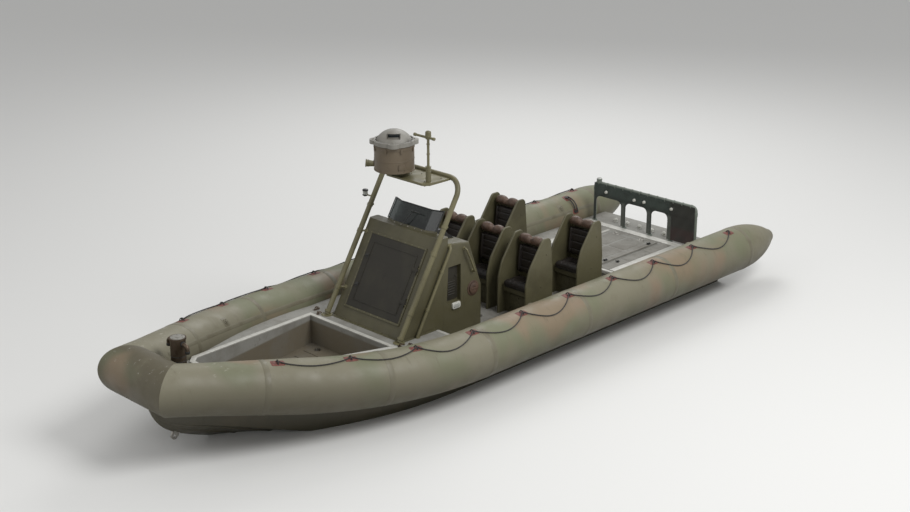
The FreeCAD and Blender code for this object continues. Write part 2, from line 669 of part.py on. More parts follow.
def make_front_panel():
    panel = piece(doc.addObject("Part::Box", "console_front_panel"), "console_front_panel")
    bind(panel, "Length", S.front_panel_thick)
    bind(panel, "Width", 2 * S.front_panel_half)
    bind(panel, "Height", S.front_panel_high)
    rake = console_rake()
    up = V(-math.sin(rake), 0, math.cos(rake))
    foot = V(S.console_front_x, 0, S.foredeck_z) + up * float(S.front_panel_foot)
    panel.Placement = FreeCAD.Placement(foot - V(0, S.front_panel_half, 0),
                                        FreeCAD.Rotation(V(0, 1, 0), -math.degrees(rake)))


def shelf_height(x):
    """Height of the console's sloping shelf at x."""
    slope = (S.console_shelf_z - S.console_back_z) / (S.console_ledge_x - S.console_back_x)
    return S.console_back_z + (x - S.console_back_x) * slope


def make_dashboard():
    body = new_body("dashboard")
    outline = [(S.dash_fore_x, shelf_height(S.dash_fore_x)),
               (S.dash_fore_x - S.dash_front_lean, S.dash_crest_z),
               (S.dash_crest_x, S.dash_crest_z), (S.dash_aft_x, shelf_height(S.dash_aft_x))]
    pad(body, sketch_on(body, "XZ_Plane", outline), 2 * S.dash_half)
    piece(body, "dashboard")


def screen_plan(thick):
    """Plan of the folded windscreen: a flat centre and a swept wing at each end."""
    outer = [(S.screen_wing_x, S.screen_wing_half), (S.screen_foot_x, S.screen_half),
             (S.screen_foot_x, -S.screen_half), (S.screen_wing_x, -S.screen_wing_half)]
    inner = [(float(x) - thick, y) for x, y in reversed(outer)]
    return outer + inner


def make_windscreen():
    """Glass in a foot channel, both raked aft."""
    rake = math.radians(float(S.screen_rake))
    way = V(-math.sin(rake), 0, math.cos(rake))
    low = float(S.console_crest_z)
    channel = float(S.screen_channel)
    thick = float(S.screen_thick)
    lap = float(S.screen_channel_lap)
    frame = prism(screen_plan(thick + 2 * lap), way * (channel / way.z), low)
    frame.translate(V(lap, 0, 0))
    top = low + float(S.screen_high)
    glass = prism(screen_plan(thick), way * ((top - low - channel) / way.z), low + channel)
    glass.translate(way * (channel / way.z) - V(0, 0, channel))
    shape_piece("windscreen", glass)
    shape_piece("windscreen_frame", frame)


def helm_axis():
    """Centre of the helm on the console's rear slope, and the way the wheel faces."""
    foot = V(S.console_knee_x, 0, S.console_knee_z)
    head = V(S.console_back_x, 0, S.console_back_z)
    along = (head - foot).normalize()
    return foot + along * float(S.wheel_place), V(-along.z, 0, along.x), along


def make_helm():
    centre, out, up = helm_axis()
    pump = Part.makeCylinder(float(S.helm_pump_radius), float(S.helm_pump_high), centre, out)
    shaft = Part.makeCylinder(float(S.wheel_shaft), float(S.wheel_stand), centre, out)
    bearing_top = float(S.helm_pump_high + S.bearing_over)
    bearing = Part.makeCylinder(float(S.bearing_radius), bearing_top, centre, out)
    shape_piece("helm_pump", joined([pump, bearing, shaft]))

    hub_low = centre + out * (bearing_top + float(S.fit_gap))
    hub_high = float(S.wheel_stand + S.wheel_hub_over) - bearing_top
    hub = Part.makeCylinder(float(S.wheel_hub), hub_high, hub_low, out)
    plane = centre + out * float(S.wheel_stand)
    rim = Part.makeTorus(float(S.wheel_radius), float(S.wheel_rim), plane, out)
    spokes = []
    for turn in (90, 210, 330):
        way = FreeCAD.Rotation(out, turn).multVec(out.cross(up))
        spokes.append(Part.makeCylinder(float(S.wheel_spoke), float(S.wheel_radius), plane, way))
    wheel = joined([hub, rim] + spokes)
    bore = Part.makeCylinder(float(S.wheel_shaft) + float(S.pivot_slack),
                             float(S.wheel_stand) + float(S.fit_gap), centre, out)
    shape_piece("steering_wheel", wheel.cut(bore))


def make_throttle():
    """Twin levers on a box beside the wheel."""
    centre, out, up = helm_axis()
    side = V(0, 1, 0)
    middle = centre + side * float(S.throttle_y)
    turn = FreeCAD.Rotation(side, up.cross(side), up, "XYZ")
    box = Part.makeBox(float(S.throttle_wide), float(S.throttle_deep), float(S.throttle_high))
    box.Placement = FreeCAD.Placement(middle, turn)
    box.translate(side * (-float(S.throttle_wide) / 2) - up * (float(S.throttle_high) / 2))
    reach = box.CenterOfMass - middle
    if reach.dot(out) < 0:
        box.translate(out * float(S.throttle_deep))
    parts = [box]
    for way in (-1, 1):
        foot = middle + out * float(S.throttle_deep - S.lever_root)
        foot += side * (way * float(S.lever_apart) / 2)
        head = foot + out * float(S.lever_long) + up * float(S.lever_lean)
        parts.append(rod(foot, head, S.lever_radius))
        parts.append(Part.makeSphere(float(S.lever_knob), head))
    shape_piece("throttle_control", joined(parts))


# Arch, radar and antenna

def arch_x(z):
    return float(S.arch_foot_x) - float(S.arch_slope) * (float(z) - float(S.foredeck_z))


def solid_of(label):
    """The finished solid of an earlier piece, to trim what ends on it."""
    return [thing for thing in PIECES if thing.Label == label][0].Shape


def arch_corners():
    """Foot, port corner, starboard corner and foot of the hoop's centre line."""
    foot_z = foredeck_height(S.arch_foot_x) + float(S.arch_foot_thick)
    top_z = float(S.arch_top_z)
    half = float(S.arch_half)
    return [V(arch_x(foot_z), half, foot_z), V(arch_x(top_z), half, top_z),
            V(arch_x(top_z), -half, top_z), V(arch_x(foot_z), -half, foot_z)]


def make_arch():
    """Sloping hoop on two foot plates, stayed twice on each side to the console's front."""
    parts = [bent_tube(arch_corners(), S.arch_bend, S.arch_tube)]
    half = float(S.arch_half)
    base = foredeck_height(S.arch_foot_x) - float(S.arch_foot_thick)
    rake = math.tan(console_rake())
    for side in (1, -1):
        parts.append(Part.makeCylinder(float(S.arch_foot_plate), 2 * float(S.arch_foot_thick),
                                       V(S.arch_foot_x, side * half, base)))
        for z in (S.foredeck_z + S.arch_stay_low, S.console_crest_z - S.arch_stay_drop):
            face_x = float(S.console_front_x) - float(z - S.foredeck_z) * rake
            y = side * float(S.console_half - S.arch_stay_in)
            parts.append(rod((arch_x(z), side * half, z), (face_x, y, z), S.arch_stay_tube))
    arch = joined(parts).common(above_foredeck(float(S.fit_gap), 0))
    shape_piece("arch_hoop", arch.cut(solid_of("console")))


def make_braces():
    """Sloping bars along the console's sides, from the deck to the shelf."""
    z_foot = foredeck_height(S.brace_foot_x)
    for side, name in ((1, "arch_brace_port"), (-1, "arch_brace_starboard")):
        y = side * float(S.console_half + S.brace_off)
        root = side * float(S.console_half - S.brace_root)
        bar = bent_tube([(S.brace_foot_x, y, z_foot), (S.brace_top_x, y, S.brace_top_z),
                         (S.brace_top_x, root, S.brace_top_z)], S.brace_bend, S.brace_tube)
        bar = bar.common(above_foredeck(float(S.fit_gap), 0)).cut(solid_of("console"))
        shape_piece(name, max(bar.Solids, key=lambda solid: solid.Volume))


def make_platform():
    """Flat tray that reaches forward from the hoop's top bar."""
    low_y = float(S.platform_mid_y) - float(S.platform_half)
    high_y = float(S.platform_mid_y) + float(S.platform_half)
    low = float(S.platform_z)
    aft_x = arch_x(S.arch_top_z)
    corner = float(S.platform_corner)
    points = [(aft_x, low_y), (float(S.platform_fore_x) - corner, low_y),
              (S.platform_fore_x, low_y + corner), (S.platform_fore_x, high_y - corner),
              (float(S.platform_fore_x) - corner, high_y), (aft_x, high_y)]
    plate = prism(points, V(0, 0, S.platform_thick), low)
    bar = rod((aft_x, -S.far, S.arch_top_z), (aft_x, S.far, S.arch_top_z), S.arch_tube)
    foot_x = float(S.platform_fore_x - S.drum_foot_radius - S.drum_foot_in)
    foot_z = low + float(S.platform_thick - S.root)
    foot = Part.makeCylinder(float(S.drum_foot_radius), float(S.drum_z) - foot_z,
                             V(foot_x, S.drum_y, foot_z))
    tray = plate.fuse(foot).cut([solid_of("arch_hoop"), bar]).removeSplitter()
    shape_piece("radar_platform", max(tray.Solids, key=lambda solid: solid.Volume))


def make_radar():
    centre = V(S.drum_x, S.drum_y, S.drum_z)
    drum = piece(doc.addObject("Part::Cylinder", "radar_drum"), "radar_drum")
    bind(drum, "Radius", S.drum_radius)
    bind(drum, "Height", S.drum_high)
    bind(drum, "Placement.Base.x", S.drum_x)
    bind(drum, "Placement.Base.y", S.drum_y)
    bind(drum, "Placement.Base.z", S.drum_z)
    top = centre + V(0, 0, S.drum_high)
    thick = float(S.cap_thick)
    parts = [Part.makeCylinder(float(S.cap_disc_radius), thick, top)]
    lobe = float(S.cap_lobe_radius)
    diagonals = [V(math.cos(turn), math.sin(turn), 0)
                 for turn in (math.pi / 4, 3 * math.pi / 4, 5 * math.pi / 4, 7 * math.pi / 4)]
    for way in diagonals:
        parts.append(Part.makeCylinder(lobe, thick, top + way * (float(S.cap_radius) - lobe)))
    high = float(S.dome_high)
    radius = (float(S.dome_radius) ** 2 + high ** 2) / (2 * high)
    dome_foot = top + V(0, 0, thick - float(S.root))
    dome = Part.makeSphere(radius, dome_foot + V(0, 0, high - radius))
    parts.append(dome.cut(half_space(dome_foot, V(0, 0, -1))))
    sight = block((S.sight_back, S.cap_radius), (-S.sight_half, S.sight_half),
                  (S.sight_low, S.sight_high))
    sight.Placement = FreeCAD.Placement(top + V(0, 0, thick), FreeCAD.Rotation(V(1, 0, 0), diagonals[0]))
    shape_piece("radar_cap", joined(parts).cut(sight))


def make_antenna():
    """Mast with a cross arm and a cap, on the tray's port end."""
    base = V(S.antenna_x, S.antenna_y, S.platform_z + S.platform_thick)
    top_z = float(S.antenna_top_z)
    arm_z = float(S.antenna_arm_z)
    arm = float(S.antenna_arm_radius)
    parts = [Part.makeCylinder(float(S.antenna_base_radius), float(S.antenna_base_high), base),
             Part.makeCylinder(float(S.antenna_radius), top_z - base.z, base),
             rod((base.x, base.y + float(S.antenna_arm_port), arm_z),
                 (base.x, base.y - float(S.antenna_arm), arm_z), arm),
             Part.makeCylinder(float(S.antenna_cap_radius), float(S.antenna_cap_high),
                               V(base.x, base.y, top_z - float(S.antenna_cap_high)))]
    shape_piece("antenna_mast", joined(parts))


def make_horn_and_lamp():
    """Loudhailer at the hoop's starboard corner and a hooded lamp on its starboard leg."""
    port, starboard, foot = arch_corners()[1:]
    clamp = corner_arc(port, starboard, foot, S.arch_bend)[1]
    way = V(S.horn_aim_x, S.horn_aim_y, S.horn_aim_z).normalize()
    throat = clamp + way * float(S.horn_stem + S.arch_tube)
    stem = rod(clamp, throat + way, S.horn_stem_radius)
    bell = Part.makeCone(float(S.horn_throat), float(S.horn_radius), float(S.horn_length), throat, way)
    mouth = throat + way * float(S.horn_length)
    lip = Part.makeCylinder(float(S.horn_lip_radius), float(S.horn_lip), mouth, way)
    dish_foot = mouth + way * float(S.horn_dish_wall)
    dish = Part.makeCylinder(float(S.horn_dish_radius), float(S.horn_lip), dish_foot, way)
    arch = solid_of("arch_hoop")
    shape_piece("loudhailer", joined([stem, bell, lip]).cut([dish, arch]))
    z = float(S.lamp_place_z)
    y = -float(S.arch_half + S.lamp_out)
    radius = float(S.lamp_radius)
    high = float(S.lamp_high)
    hood = float(S.lamp_hood)
    lamp = [Part.makeCylinder(float(S.lamp_glass_radius), high, V(arch_x(z), y, z)),
            Part.makeCylinder(radius, hood, V(arch_x(z), y, z)),
            Part.makeCylinder(radius, hood, V(arch_x(z), y, z + high - hood)),
            rod((arch_x(z + hood), -float(S.arch_half), z + hood), (arch_x(z), y, z + hood),
                S.lamp_arm_radius)]
    shape_piece("navigation_lamp", joined(lamp).cut(arch))


# Seats: five shells with wings that reach the deck

def seat_places():
    names = []
    for row, x in (("fore", float(S.seat_fore_x)), ("aft", float(S.seat_fore_x) - float(S.seat_pitch))):
        for where, y in (("port", S.seat_y), ("middle", 0.0), ("starboard", -S.seat_y)):
            if (row, where) != ("aft", "middle"):
                names.append(("%s_%s" % (row, where), x, float(y)))
    return names


def seat_back_x(z, x0):
    """Front of the backrest's shell at height z."""
    lean = math.tan(math.radians(float(S.seat_recline)))
    return x0 - float(S.backrest_thick) - (float(z) - float(S.pan_z)) * lean


def make_seat(name, x0, y0):
    sole = float(S.sole_z)
    half = float(S.seat_half)
    wing_points = [(x0 + S.wing_toe_x, sole, 0),
                   (x0 + S.wing_toe_x, S.wing_toe_z, S.wing_toe_round),
                   (x0 + S.wing_brow_x, S.wing_brow_z, S.wing_brow_round),
                   (x0 + S.wing_top_fore, S.wing_top_z, S.wing_top_round),
                   (x0 + S.wing_top_aft, S.wing_top_z, S.wing_top_round),
                   (x0 + S.wing_heel_x, S.wing_heel_z, S.wing_heel_round),
                   (x0 + S.wing_heel_x, sole, 0)]
    thick = float(S.seat_wing)
    wings = [rounded_prism(wing_points, V(0, thick, 0), y0 + start)
             for start in (-half, half - thick)]
    inner = half - thick
    pan_z = float(S.pan_z)
    pan_low = pan_z - float(S.pan_thick)
    root = float(S.root)
    heel = float(x0 + S.wing_heel_x)
    base = block((heel, float(x0 + S.pan_fore) - float(S.pan_heel_in)), (y0 - inner, y0 + inner),
                 (sole, pan_low))
    pan = block((heel, x0 + S.pan_fore), (y0 - inner, y0 + inner), (pan_low - root, pan_z))
    back_low = seat_back_x(pan_z, x0)
    back_high = seat_back_x(S.back_top_z, x0)
    back_points = [(back_low, pan_z - root), (back_high, S.back_top_z),
                   (back_high - float(S.back_thick), S.back_top_z), (heel, S.wing_heel_z),
                   (heel, pan_z - root)]
    back = prism(back_points, V(0, 2 * inner, 0), y0 - inner)
    shell = joined(wings + [base, pan, back])
    shape_piece("seat_shell_" + name, shell)

    soft = inner - float(S.soft_gap)
    gap = float(S.fit_gap)
    cushion_low = pan_z + gap
    cushion_top = pan_z + float(S.cushion_high)
    body = new_body("seat_cushion_" + name)
    bevel = S.cushion_round
    back_gap = float(S.cushion_back_gap)
    outline = [(back_low + back_gap, cushion_low), (x0 + S.cushion_fore, cushion_low),
               (x0 + S.cushion_fore, cushion_top - bevel), (x0 + S.cushion_fore - bevel, cushion_top),
               (seat_back_x(cushion_top, x0) + back_gap, cushion_top)]
    pad(body, sketch_on(body, "XZ_Plane", outline, Size(-y0, "(%r)" % -y0)), 2 * soft)
    piece(body, "seat_cushion_" + name)

    body = new_body("seat_backrest_" + name)
    low = cushion_top + back_gap
    top = float(S.seat_top_z)
    bolster = top - float(S.bolster_high)
    thick = float(S.backrest_thick)
    front = [(seat_back_x(low, x0) + thick, low), (seat_back_x(bolster, x0) + thick, bolster),
             (seat_back_x(bolster, x0) + float(S.bolster_thick), bolster + float(S.bolster_rise)),
             (seat_back_x(top, x0) + float(S.bolster_thick - S.bolster_lean), top)]
    rear = [(seat_back_x(top, x0) + gap, top), (seat_back_x(low, x0) + gap, low)]
    pad(body, sketch_on(body, "XZ_Plane", front + rear, Size(-y0, "(%r)" % -y0)), 2 * soft)
    piece(body, "seat_backrest_" + name)


# Aft guard

def make_guard():
    """Hoop with three posts and a canvas whose bays are cut out, save the port one."""
    x = float(S.guard_x)
    guard_half = S.collar_side_y - S.collar_radius - S.guard_side_gap
    half = float(guard_half)
    foot = float(S.guard_foot_z) + float(S.fit_gap)
    rail_z = float(S.guard_top_z) - float(S.guard_rail_radius)
    posts = (S.guard_post_2, S.guard_post_3, S.guard_post_4)
    parts = [bent_tube([(x, half, foot), (x, half, rail_z), (x, -half, rail_z), (x, -half, foot)],
                       S.guard_bend, S.guard_rail_radius)]
    for y in posts:
        parts.append(rod((x, y, foot), (x, y, rail_z), S.guard_post_radius))
    for y in (-half,) + posts + (half,):
        parts.append(Part.makeCylinder(float(S.guard_foot_radius), float(S.guard_foot_thick),
                                       V(x, float(y), foot)))
    parts.append(Part.makeCylinder(float(S.guard_lamp_radius), float(S.guard_lamp_high),
                                   V(x, float(S.guard_lamp_in) - half, rail_z)))
    shape_piece("guard_frame", joined(parts))

    face_x = S.guard_x + S.guard_rail_radius + S.fit_gap
    body = new_body("guard_canvas")
    low = S.guard_foot_z + S.guard_lift
    high = S.guard_top_z - S.guard_rail_radius
    corners = [(-guard_half, low), (guard_half, low), (guard_half, high), (-guard_half, high)]
    sketch = sketch_on(body, "YZ_Plane", corners, face_x + S.guard_canvas_thick / 2)
    pad(body, sketch, S.guard_canvas_thick)
    ends = (-guard_half,) + posts
    bottom = low - S.guard_lift
    bays = []
    for left, right in zip(ends, ends[1:]):
        bays.append([(left + S.guard_hem, bottom), (right - S.guard_hem, bottom),
                     (right - S.guard_hem, S.guard_band_z), (left + S.guard_hem, S.guard_band_z)])
    for bay in bays:
        sketch = sketch_on(body, "YZ_Plane", bay, face_x + S.guard_canvas_thick * 2)
        pocket(body, sketch, S.guard_canvas_thick * 4)

    def bay_crown(edge):
        box = edge.BoundBox
        across = box.YLength < 1 and box.ZLength < 1
        inside = abs(box.YMin) < half - 1 or abs(box.ZMin - float(S.guard_band_z)) < 1
        return across and inside and abs(box.ZMin - float(S.guard_band_z)) < 1
    fillet(body, S.guard_arch_round, bay_crown)
    piece(body, "guard_canvas")


# Deck fittings

def make_bitt():
    """Stout post with a cap and a cross bar whose ends turn down."""
    x = float(S.bitt_x)
    base = foredeck_height(x)
    top = float(S.bitt_top_z)
    half = float(S.bitt_bar_half)
    bar_z = top - float(S.bitt_bar_radius + S.bitt_cap_thick + S.bitt_bar_gap)
    low = bar_z - float(S.bitt_bar_drop)
    bar = bent_tube([(x, -half, low), (x, -half, bar_z), (x, half, bar_z), (x, half, low)],
                    S.bitt_bar_bend, S.bitt_bar_radius)
    cap = Part.makeCylinder(float(S.bitt_radius + S.bitt_cap_over), float(S.bitt_cap_thick),
                            V(x, 0, top - float(S.bitt_cap_thick)))
    root = base - float(S.bitt_radius)
    post = Part.makeCylinder(float(S.bitt_radius), top - root, V(x, 0, root))
    foot = Part.makeCylinder(float(S.bitt_foot_radius), base - root + float(S.bitt_foot_thick),
                             V(x, 0, root))
    bitt = joined([bar, post, cap, foot]).common(above_foredeck(float(S.fit_gap), S.sole_fore_x))
    shape_piece("bow_bitt", bitt)


def make_deck_caps():
    caps = []
    for step in range(5):
        y = float(S.cap_row_y) + (step - 2) * float(S.cap_row_pitch)
        foot = V(S.cap_row_x, y, S.aft_deck_z)
        stem = Part.makeCylinder(float(S.deck_cap_stem), float(S.deck_cap_high), foot)
        head = Part.makeCone(float(S.deck_cap_radius), float(S.deck_cap_crown), float(S.deck_cap_head),
                             foot + V(0, 0, S.deck_cap_high - S.deck_cap_head))
        caps.append(joined([stem, head]))
    shape_piece("stern_deck_caps", Part.makeCompound(caps))


def eye_plate(centre, away):
    """A rounded plate with a hole across it, whose root runs back from the hole."""
    thick = float(S.eye_thick)
    side = V(0, 1, 0)
    start = centre - side * (thick / 2)
    ring = Part.makeCylinder(float(S.eye_ring), thick, start, side)
    root_box = Part.makeBox(2 * float(S.eye_ring), thick, float(S.eye_root),
                            V(-float(S.eye_ring), -thick / 2, 0))
    root_box.Placement = FreeCAD.Placement(centre, FreeCAD.Rotation(V(0, 0, 1), away * -1))
    hole = Part.makeCylinder(float(S.eye_bore), 3 * thick, centre - side * (1.5 * thick), side)
    return joined([ring, root_box]).cut(hole)


def make_eyes(form):
    centre = V(S.bow_eye_x, 0, S.bow_eye_z)
    bow = eye_plate(centre, V(0.6, 0, -0.8)).cut(form)
    shape_piece("bow_eye", min(bow.Solids, key=lambda solid: (solid.CenterOfMass - centre).Length))
    rake = math.radians(float(S.transom_rake))
    away = V(-math.cos(rake), 0, -math.sin(rake))
    face_x = float(S.transom_foot_x) - float(S.stern_eye_z) * math.tan(rake)
    eyes = []
    for side in (1, -1):
        centre = V(face_x - float(S.eye_ring + S.stern_eye_out), side * S.stern_eye_y, S.stern_eye_z)
        eyes.append(eye_plate(centre, away).common(behind_transom(-float(S.fit_gap))))
    shape_piece("stern_eyes", Part.makeCompound([eye.Solids[0] for eye in eyes]))


# Waterjets

def make_jet(side, where):
    y = side * float(S.jet_y)
    z = float(S.jet_z)
    pivot_x = float(S.jet_pivot_x)
    aft = V(-1, 0, 0)
    neck_x = pivot_x + float(S.jet_neck_length)
    gap = float(S.fit_gap)
    slack = float(S.pivot_slack)
    start_x = float(S.transom_foot_x + S.jet_root)
    root = float(S.root)
    cheek_foot = float(S.cheek_foot)
    reach = float(S.bucket_radius) * 2
    rake = math.tan(math.radians(float(S.transom_rake)))
    flange_x = float(S.transom_foot_x) - (z + float(S.jet_flange_radius)) * rake
    flange_x -= float(S.jet_flange_thick)
    flange = Part.makeCylinder(float(S.jet_flange_radius), start_x - flange_x, V(start_x, y, z), aft)
    body = Part.makeCone(float(S.jet_body_radius), float(S.jet_neck_radius),
                         flange_x - neck_x + root, V(flange_x + root, y, z), aft)
    neck = Part.makeCylinder(float(S.jet_neck_radius), float(S.jet_neck_length),
                             V(neck_x, y, z), aft)
    parts = [flange, body, neck]
    yoke_z = float(S.yoke_z)
    yoke_half = float(S.yoke_half)
    pin = float(S.pivot_radius)
    for up in (1, -1):
        low = min(z + up * yoke_z, z + up * (yoke_z + float(S.yoke_thick)))
        high = low + float(S.yoke_thick)
        parts.append(block((pivot_x, flange_x + root), (y - yoke_half, y + yoke_half), (low, high)))
        parts.append(Part.makeCylinder(yoke_half, float(S.yoke_thick), V(pivot_x, y, low)))
    cheek_y = float(S.cheek_y)
    for out in (1, -1):
        inner = y + out * (cheek_y - float(S.yoke_thick))
        outer = y + out * cheek_y
        low, high = min(inner, outer), max(inner, outer)
        cheek_z = (z - yoke_half, z + yoke_half)
        parts.append(block((pivot_x, flange_x + cheek_foot), (low, high), cheek_z))
        parts.append(rod((pivot_x, low, z), (pivot_x, high, z), yoke_half))
        pin_low = cheek_y - float(S.cheek_pin_root)
        pin_high = cheek_y + float(S.cheek_thick + S.cheek_pin_over)
        parts.append(rod((pivot_x, y + out * pin_low, z), (pivot_x, y + out * pin_high, z), pin))
        parts.append(block((flange_x, flange_x + cheek_foot), (min(y, outer), max(y, outer)), cheek_z))
    bore = Part.makeCylinder(float(S.jet_bore), reach, V(neck_x + float(S.jet_bore_deep), y, z), aft)
    housing = joined(parts).common(behind_transom(-gap))
    housing = housing.cut(bore)
    upper = Part.makeCylinder(pin + slack, reach, V(pivot_x, y, z + yoke_z - root))
    lower = Part.makeCylinder(pin + slack, reach, V(pivot_x, y, z - yoke_z + root - reach))
    housing = housing.cut([upper, lower])
    shape_piece("jet_housing_" + where, max(housing.Solids, key=lambda solid: solid.Volume))

    front = float(S.nozzle_front_radius)
    tail = float(S.nozzle_tail_radius)
    wall = float(S.nozzle_wall)
    nozzle_x = pivot_x + float(S.nozzle_lap)
    shell = Part.makeCone(front, tail, float(S.nozzle_length), V(nozzle_x, y, z), aft)
    hollow = Part.makeCone(front - wall, tail - wall, float(S.nozzle_length), V(nozzle_x, y, z), aft)
    boss_low = z - (yoke_z - gap)
    boss = Part.makeCylinder(float(S.nozzle_boss_radius), 2 * (yoke_z - gap), V(pivot_x, y, boss_low))
    pin_long = float(S.yoke_thick + S.yoke_pin_over)
    pin_low = yoke_z - gap - root
    pins = [Part.makeCylinder(pin, pin_long, V(pivot_x, y, z + way * pin_low), V(0, 0, way))
            for way in (1, -1)]
    shell = shell.fuse(boss).cut(hollow)
    mouth = float(S.nozzle_mouth)
    hollow_front = Part.makeCylinder(front - wall, mouth, V(nozzle_x + mouth, y, z), aft)
    shell = shell.cut(hollow_front).fuse(pins).removeSplitter()
    shape_piece("steering_nozzle_" + where, max(shell.Solids, key=lambda solid: solid.Volume))

    radius = float(S.bucket_radius)
    thick = float(S.bucket_thick)
    inner_y = cheek_y + gap
    outer_y = inner_y + float(S.cheek_thick)

    def sector(low_r, high_r, half_y):
        """A ring sector about the pivot, from the low to the high angle above aft."""
        def at(r, angle):
            return V(pivot_x - r * math.cos(math.radians(angle)), y - half_y,
                     z + r * math.sin(math.radians(angle)))
        low, high = float(S.bucket_low), float(S.bucket_high)
        mid = (low + high) / 2
        wire = [Part.Arc(at(high_r, low), at(high_r, mid), at(high_r, high)).toShape()]
        if low_r > 0:
            wire += [Part.LineSegment(at(high_r, high), at(low_r, high)).toShape(),
                     Part.Arc(at(low_r, high), at(low_r, mid), at(low_r, low)).toShape(),
                     Part.LineSegment(at(low_r, low), at(high_r, low)).toShape()]
        else:
            middle = V(pivot_x, y - half_y, z)
            wire += [Part.LineSegment(at(high_r, high), middle).toShape(),
                     Part.LineSegment(middle, at(high_r, low)).toShape()]
        return Part.Face(Part.Wire(wire)).extrude(V(0, 2 * half_y, 0))
    hood = sector(radius - thick, radius, outer_y)
    between = block((pivot_x - reach, pivot_x + reach), (y - inner_y, y + inner_y),
                    (z - reach, z + reach))
    cheeks = sector(0, radius, outer_y).cut(between)
    bosses = [rod((pivot_x, y + out * inner_y, z), (pivot_x, y + out * outer_y, z), yoke_half)
              for out in (1, -1)]
    bucket = joined([hood] + cheeks.Solids + bosses)
    bucket = bucket.cut(rod((pivot_x, y - reach, z), (pivot_x, y + reach, z), pin + slack))
    shape_piece("reversing_bucket_" + where, max(bucket.Solids, key=lambda solid: solid.Volume))


def make_collar():
    for side, name in ((1, "port"), (-1, "starboard")):
        shape_piece("collar_" + name, side_tube(side, S.tail_start_x))
        shape_piece("tail_cone_" + name, tail_cone(side))
    shape_piece("collar_bow", nose_tube())


form = make_hull_family()
make_collar()
make_hatch()
make_engines()
make_console()
make_front_panel()
make_dashboard()
make_windscreen()
make_helm()
make_throttle()
doc.recompute()
make_arch()
make_braces()
make_platform()
make_radar()
make_antenna()
make_horn_and_lamp()
for seat_name, seat_x, seat_side in seat_places():
    make_seat(seat_name, seat_x, seat_side)
make_guard()
make_bitt()
make_deck_caps()
make_eyes(form)
make_jet(1, "port")
make_jet(-1, "starboard")
doc.recompute()

for thing in doc.Objects:
    if "Invalid" in thing.State or "Error" in thing.State:
        raise ValueError("%s did not build" % thing.Name)
for thing in PIECES:
    if thing.Shape.isNull() or not thing.Shape.isValid():
        raise ValueError("%s is not a valid solid" % thing.Label)
os.makedirs("parts", exist_ok=True)
for thing in PIECES:
    thing.Shape.exportStep("parts/%s.step" % thing.Label)
print(len(PIECES), "pieces")
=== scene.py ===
"""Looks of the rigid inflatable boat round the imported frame. Metres; +X bow, +Y port, +Z up."""

import random
from math import atan2, cos, degrees, exp, hypot, pi, radians, sin, tan

import bmesh
import bpy
from mathutils import Matrix, Vector
from mathutils.bvhtree import BVHTree


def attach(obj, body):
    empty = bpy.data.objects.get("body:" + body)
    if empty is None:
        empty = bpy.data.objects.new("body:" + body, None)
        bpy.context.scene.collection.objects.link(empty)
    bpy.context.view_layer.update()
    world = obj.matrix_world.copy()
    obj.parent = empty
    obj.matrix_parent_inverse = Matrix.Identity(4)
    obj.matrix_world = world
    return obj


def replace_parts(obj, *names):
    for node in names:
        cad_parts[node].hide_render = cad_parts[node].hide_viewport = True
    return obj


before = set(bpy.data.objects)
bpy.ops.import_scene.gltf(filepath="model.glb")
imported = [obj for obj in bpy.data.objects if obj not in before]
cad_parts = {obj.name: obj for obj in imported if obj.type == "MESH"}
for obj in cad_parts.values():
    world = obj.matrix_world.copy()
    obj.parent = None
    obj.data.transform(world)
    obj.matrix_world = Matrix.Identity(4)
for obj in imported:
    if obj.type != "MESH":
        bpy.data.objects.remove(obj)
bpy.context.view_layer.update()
SEATS = ("fore_port", "fore_middle", "fore_starboard", "aft_port", "aft_starboard")
SIDES = ((1, "port"), (-1, "starboard"))
AHEAD, PORT, UP = Vector((1, 0, 0)), Vector((0, 1, 0)), Vector((0, 0, 1))
AFT = -AHEAD

# Sizes that pieces share, as in the frame

COLLAR_R, NOSE_R = 0.335, 0.306
BEND_START = Vector((1.090, 1.481, 0.573))
NOSE_CORNER = Vector((5.015, 0.412, 0.970))
NOSE_RUN, NOSE_END_RUN = 1.506, 0.360
TAIL_X, TAIL_CAP_X, TAIL_CAP_R = -4.560, -5.400, 0.115
SEAT_X = {"fore": -0.670, "aft": -1.741}
SEAT_Y = {"port": 0.720, "middle": 0.0, "starboard": -0.720}
PAN_Z, SOLE_Z, SEAT_HALF, WING = 0.800, 0.420, 0.270, 0.032
CONSOLE_HALF, CONSOLE_TOP_Z = 0.678, 1.880
FOREDECK_Z, DECK_RISE_X, DECK_SLOPE = 0.650, 1.660, tan(radians(4.3))
AFT_DECK_Z, RIM_HIGH, RIM_WIDE = 0.550, 0.026, 0.062
WELL_CORNERS = ((1.950, 0.775), (4.090, 0.372), (4.180, 0.280))
WELL_FLOOR_Z = 0.300
HATCH_X, HATCH_HALF, HATCH_RIM = (-3.870, -2.680), 0.380, 0.090
GUARD_X, GUARD_HALF, RAIL_Z, RAIL_R = -4.206, 0.985, 1.192, 0.024
POST_R, GUARD_FLANGE = 0.020, 0.0103
CANVAS_X, CANVAS_FOOT, BAND_Z, CROWN_R, HEM = -4.178, 0.580, 0.985, 0.090, 0.040
POSTS = (-0.390, 0.125, 0.520)
ARCH_FOOT_X, ARCH_HALF, ARCH_SLOPE, ARCH_R = 1.731, 0.705, 0.6, 0.035
DRUM_AT = Vector((1.000, -0.120, 2.652))
DRUM_R, DRUM_HIGH, CAP_THICK = 0.262, 0.350, 0.055
PLATFORM_Z, MAST_X, MAST_Y, CROSSBAR_Z = 2.575, 0.930, 0.440, 3.165
BITT_X = 4.600
JET_Y, JET_Z, PIVOT_X = 0.450, -0.060, -5.000
TRANSOM_FOOT_X, TRANSOM_RAKE = -4.500, radians(16.5)


